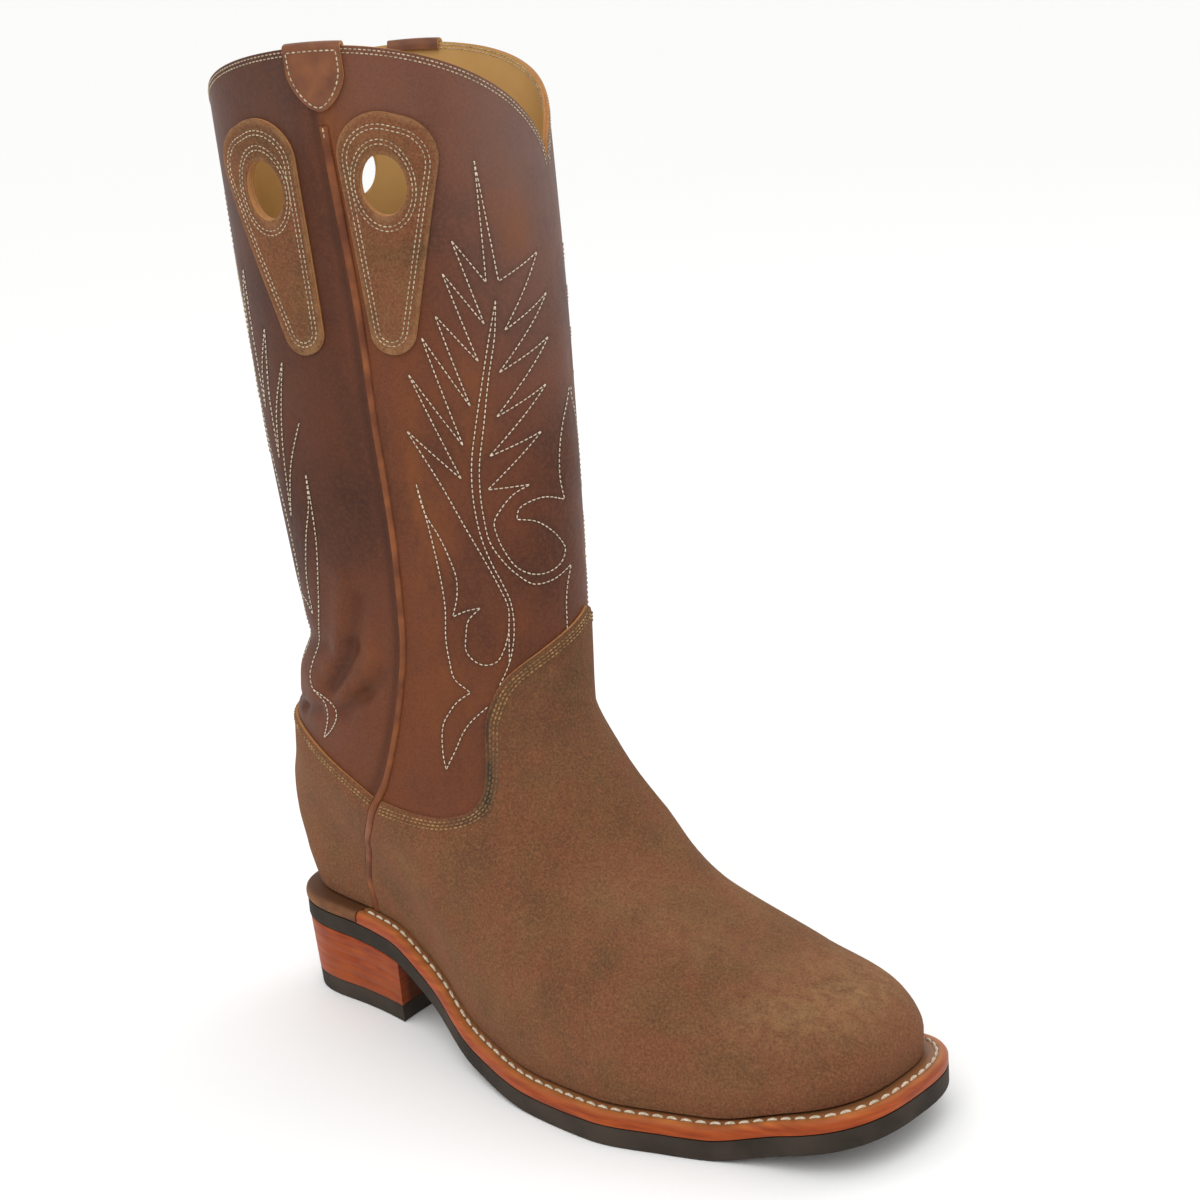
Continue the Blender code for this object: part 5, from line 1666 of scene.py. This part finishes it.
seam = float(seam_line(1.0))
fold = math.pi * STRAP_FOLD_TURNS[:, None]
shares = np.sin(np.linspace(-math.pi / 2, math.pi / 2, STRAP_SEAM_POINTS))
seam_half = STRAP_HALF - STRAP_SEAM
hem = np.stack([seam_half * shares, STRAP_SEAM - strap_drop(shares)], -1)
corners = [(-seam_half, -STRAP_TOP_SEAM), hem[0], hem[-1], (seam_half, -STRAP_TOP_SEAM)]
straights = [np.linspace(corners[i], corners[j], STRAP_STRAIGHT_POINTS) for i, j in ((0, 1), (2, 3), (3, 0))]
strap_seam_lines = [straights[0], hem, straights[1], straights[2]]
strap_runs = []
for side, hand in SIDES:
    sheets = ([], [])
    for across in np.sin(np.linspace(-math.pi / 2, math.pi / 2, STRAP_PLACES)):
        place = half_turn(seam + float(girth_step(seam, 1.0, STRAP_HALF * across)), side)
        edge = wall(place, 1.0)
        out = outward(place, 1.0)
        under_rim = edge[2] - STRAP_BELOW_RIM
        hanging = level_at(place, np.linspace(edge[2] - strap_drop(across), under_rim, STRAP_HANG_ROWS))
        tucked = level_at(place, np.linspace(under_rim, edge[2] - STRAP_TUCK, STRAP_TUCK_ROWS))
        soft = np.full(STRAP_HANG_ROWS, STRAP_SOFT_EDGE if abs(across) > STRAP_EDGE_SHARE else 1.0)
        soft[0] = STRAP_SOFT_EDGE
        middle = edge - out * (LEATHER + LINING) / 2
        reach = (LEATHER + LINING) / 2 + STRAP_CLEAR
        inside = -LEATHER - LINING - LINING_GAP - GAP - STRAP_TUCK_GAP
        for thick, rows in zip((STRAP_THICKNESS, 0.0), sheets):
            rise = np.sin(fold) * (0.0, 0.0, STRAP_FOLD + thick)
            rows.append(np.concatenate([
                raised(place, hanging, STRAP_CLEAR + thick * soft),
                middle + out * (reach + thick) * np.cos(fold) + rise,
                raised(place, tucked, inside - thick),
            ]))
    sheet = shell(*(np.array(rows) for rows in sheets), False)
    pull_strap = add_sheet("pull_strap_" + hand + "_leather", *sheet, strap_leather, strap_leather, raw_edge)
    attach(pull_strap, "root")
    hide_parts("pull_strap_" + hand)
    for line in strap_seam_lines:
        place = half_turn(seam + girth_step(seam, 1.0, line[:, 0]), side)
        level = level_at(place, wall(place, 1.0)[:, 2] + line[:, 1])
        strap_out = STRAP_CLEAR + STRAP_THICKNESS + STRAP_SEAT
        strap_runs.append(stitch(place, level, strap_out, STRAP_STITCH, STRAP_GAP))
strap_stitching = add_thread("strap_stitching", strap_runs, STRAP_THREAD, natural_thread)
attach(strap_stitching, "root")

# Studio: a plain pale floor that sweeps up far behind, a broad soft light from the upper right, weaker ones
# from the left and from behind, and pale walls.
FLOOR_SWEEP = [
    # distance from the boot, height (metres)
    (2.5, 0.0),
    (3.5, 0.07),
    (4.5, 0.27),
    (5.5, 0.62),
    (6.5, 1.15),
    (7.5, 1.9),
]
FLOOR_SIDES = 48
LIGHTS = [
    # name, place, height of the spot it points at, size (metres), power (watts)
    ("key", (0.7, -1.4, 1.9), 0.2, 1.6, 16.0),
    ("fill", (-1.3, -1.4, 0.9), 0.2, 1.6, 2.0),
    ("back", (0.3, 1.6, 1.6), 0.25, 1.4, 5.0),
]

# Floor paint: matt, nearly white, so the boot keeps a soft shadow and no reflection.
floor_paint = start_material("floor_paint_pale", "#FAFAF9", 0.9)[0]
floor_mesh = bpy.data.meshes.new("floor")
turn = np.linspace(0.0, 2.0 * math.pi, FLOOR_SIDES, endpoint=False)
sweep = [(r * math.cos(t), r * math.sin(t), z) for r, z in FLOOR_SWEEP for t in turn]
_, sweep_faces = tube_faces(len(FLOOR_SWEEP), FLOOR_SIDES)
floor_mesh.from_pydata(sweep, [], [tuple(range(FLOOR_SIDES))] + sweep_faces[:, ::-1].tolist())
floor_mesh.shade_smooth()
floor_mesh.materials.append(floor_paint)
floor = bpy.data.objects.new("floor", floor_mesh)
bpy.context.scene.collection.objects.link(floor)

world = bpy.data.worlds.new("studio")
world.use_nodes = True
wire(world.node_tree, world.node_tree.nodes["Background"], {"Color": "#FFFFFF", "Strength": 1.0})
bpy.context.scene.world = world
bpy.context.scene.view_settings.view_transform = "Standard"


def stand(name, data, place, back, roll):
    """Puts a light or a camera at a place, with its back turned this way, and rolls it."""
    back = unit(np.asarray(back))
    right = unit(np.cross([0.0, 0.0, 1.0], back))
    up = np.cross(back, right)
    rolled_right = right * math.cos(roll) + up * math.sin(roll)
    rolled_up = up * math.cos(roll) - right * math.sin(roll)
    thing = bpy.data.objects.new(name, data)
    thing.matrix_world = Matrix([*zip(rolled_right, rolled_up, back, place), (0.0, 0.0, 0.0, 1.0)])
    bpy.context.scene.collection.objects.link(thing)
    return thing


for name, place, target_height, size, power in LIGHTS:
    lamp = bpy.data.lights.new(name, "AREA")
    lamp.shape = "SQUARE"
    lamp.size = size
    lamp.energy = power
    stand(name, lamp, place, np.subtract(place, (0.0, 0.0, target_height)), 0.0)

# Camera: stands before the outer side of the toe, a little above, as in the photograph.
# Its place and lens are those that bring sole, heel, rims and seam to where the photograph has them.
CAMERA_AZIMUTH = math.radians(41.75)
CAMERA_ELEVATION = math.radians(14.985)
CAMERA_DISTANCE = 850.34
CAMERA_TARGET = np.array([179.78, 0.0, 194.26])
CAMERA_ROLL = math.radians(-4.175)
CAMERA_LENS = 67.03
CAMERA_SENSOR = 36.0
CAMERA_CLIP = 0.01
back = np.array([
    math.sin(CAMERA_AZIMUTH) * math.cos(CAMERA_ELEVATION),
    -math.cos(CAMERA_AZIMUTH) * math.cos(CAMERA_ELEVATION),
    math.sin(CAMERA_ELEVATION),
])
lens = bpy.data.cameras.new("camera")
lens.lens = CAMERA_LENS
lens.sensor_width = CAMERA_SENSOR
lens.clip_start = CAMERA_CLIP
camera_place = (CAMERA_TARGET + back * CAMERA_DISTANCE - FRAME_CENTRE) * MM
bpy.context.scene.camera = stand("camera", lens, camera_place, back, CAMERA_ROLL)
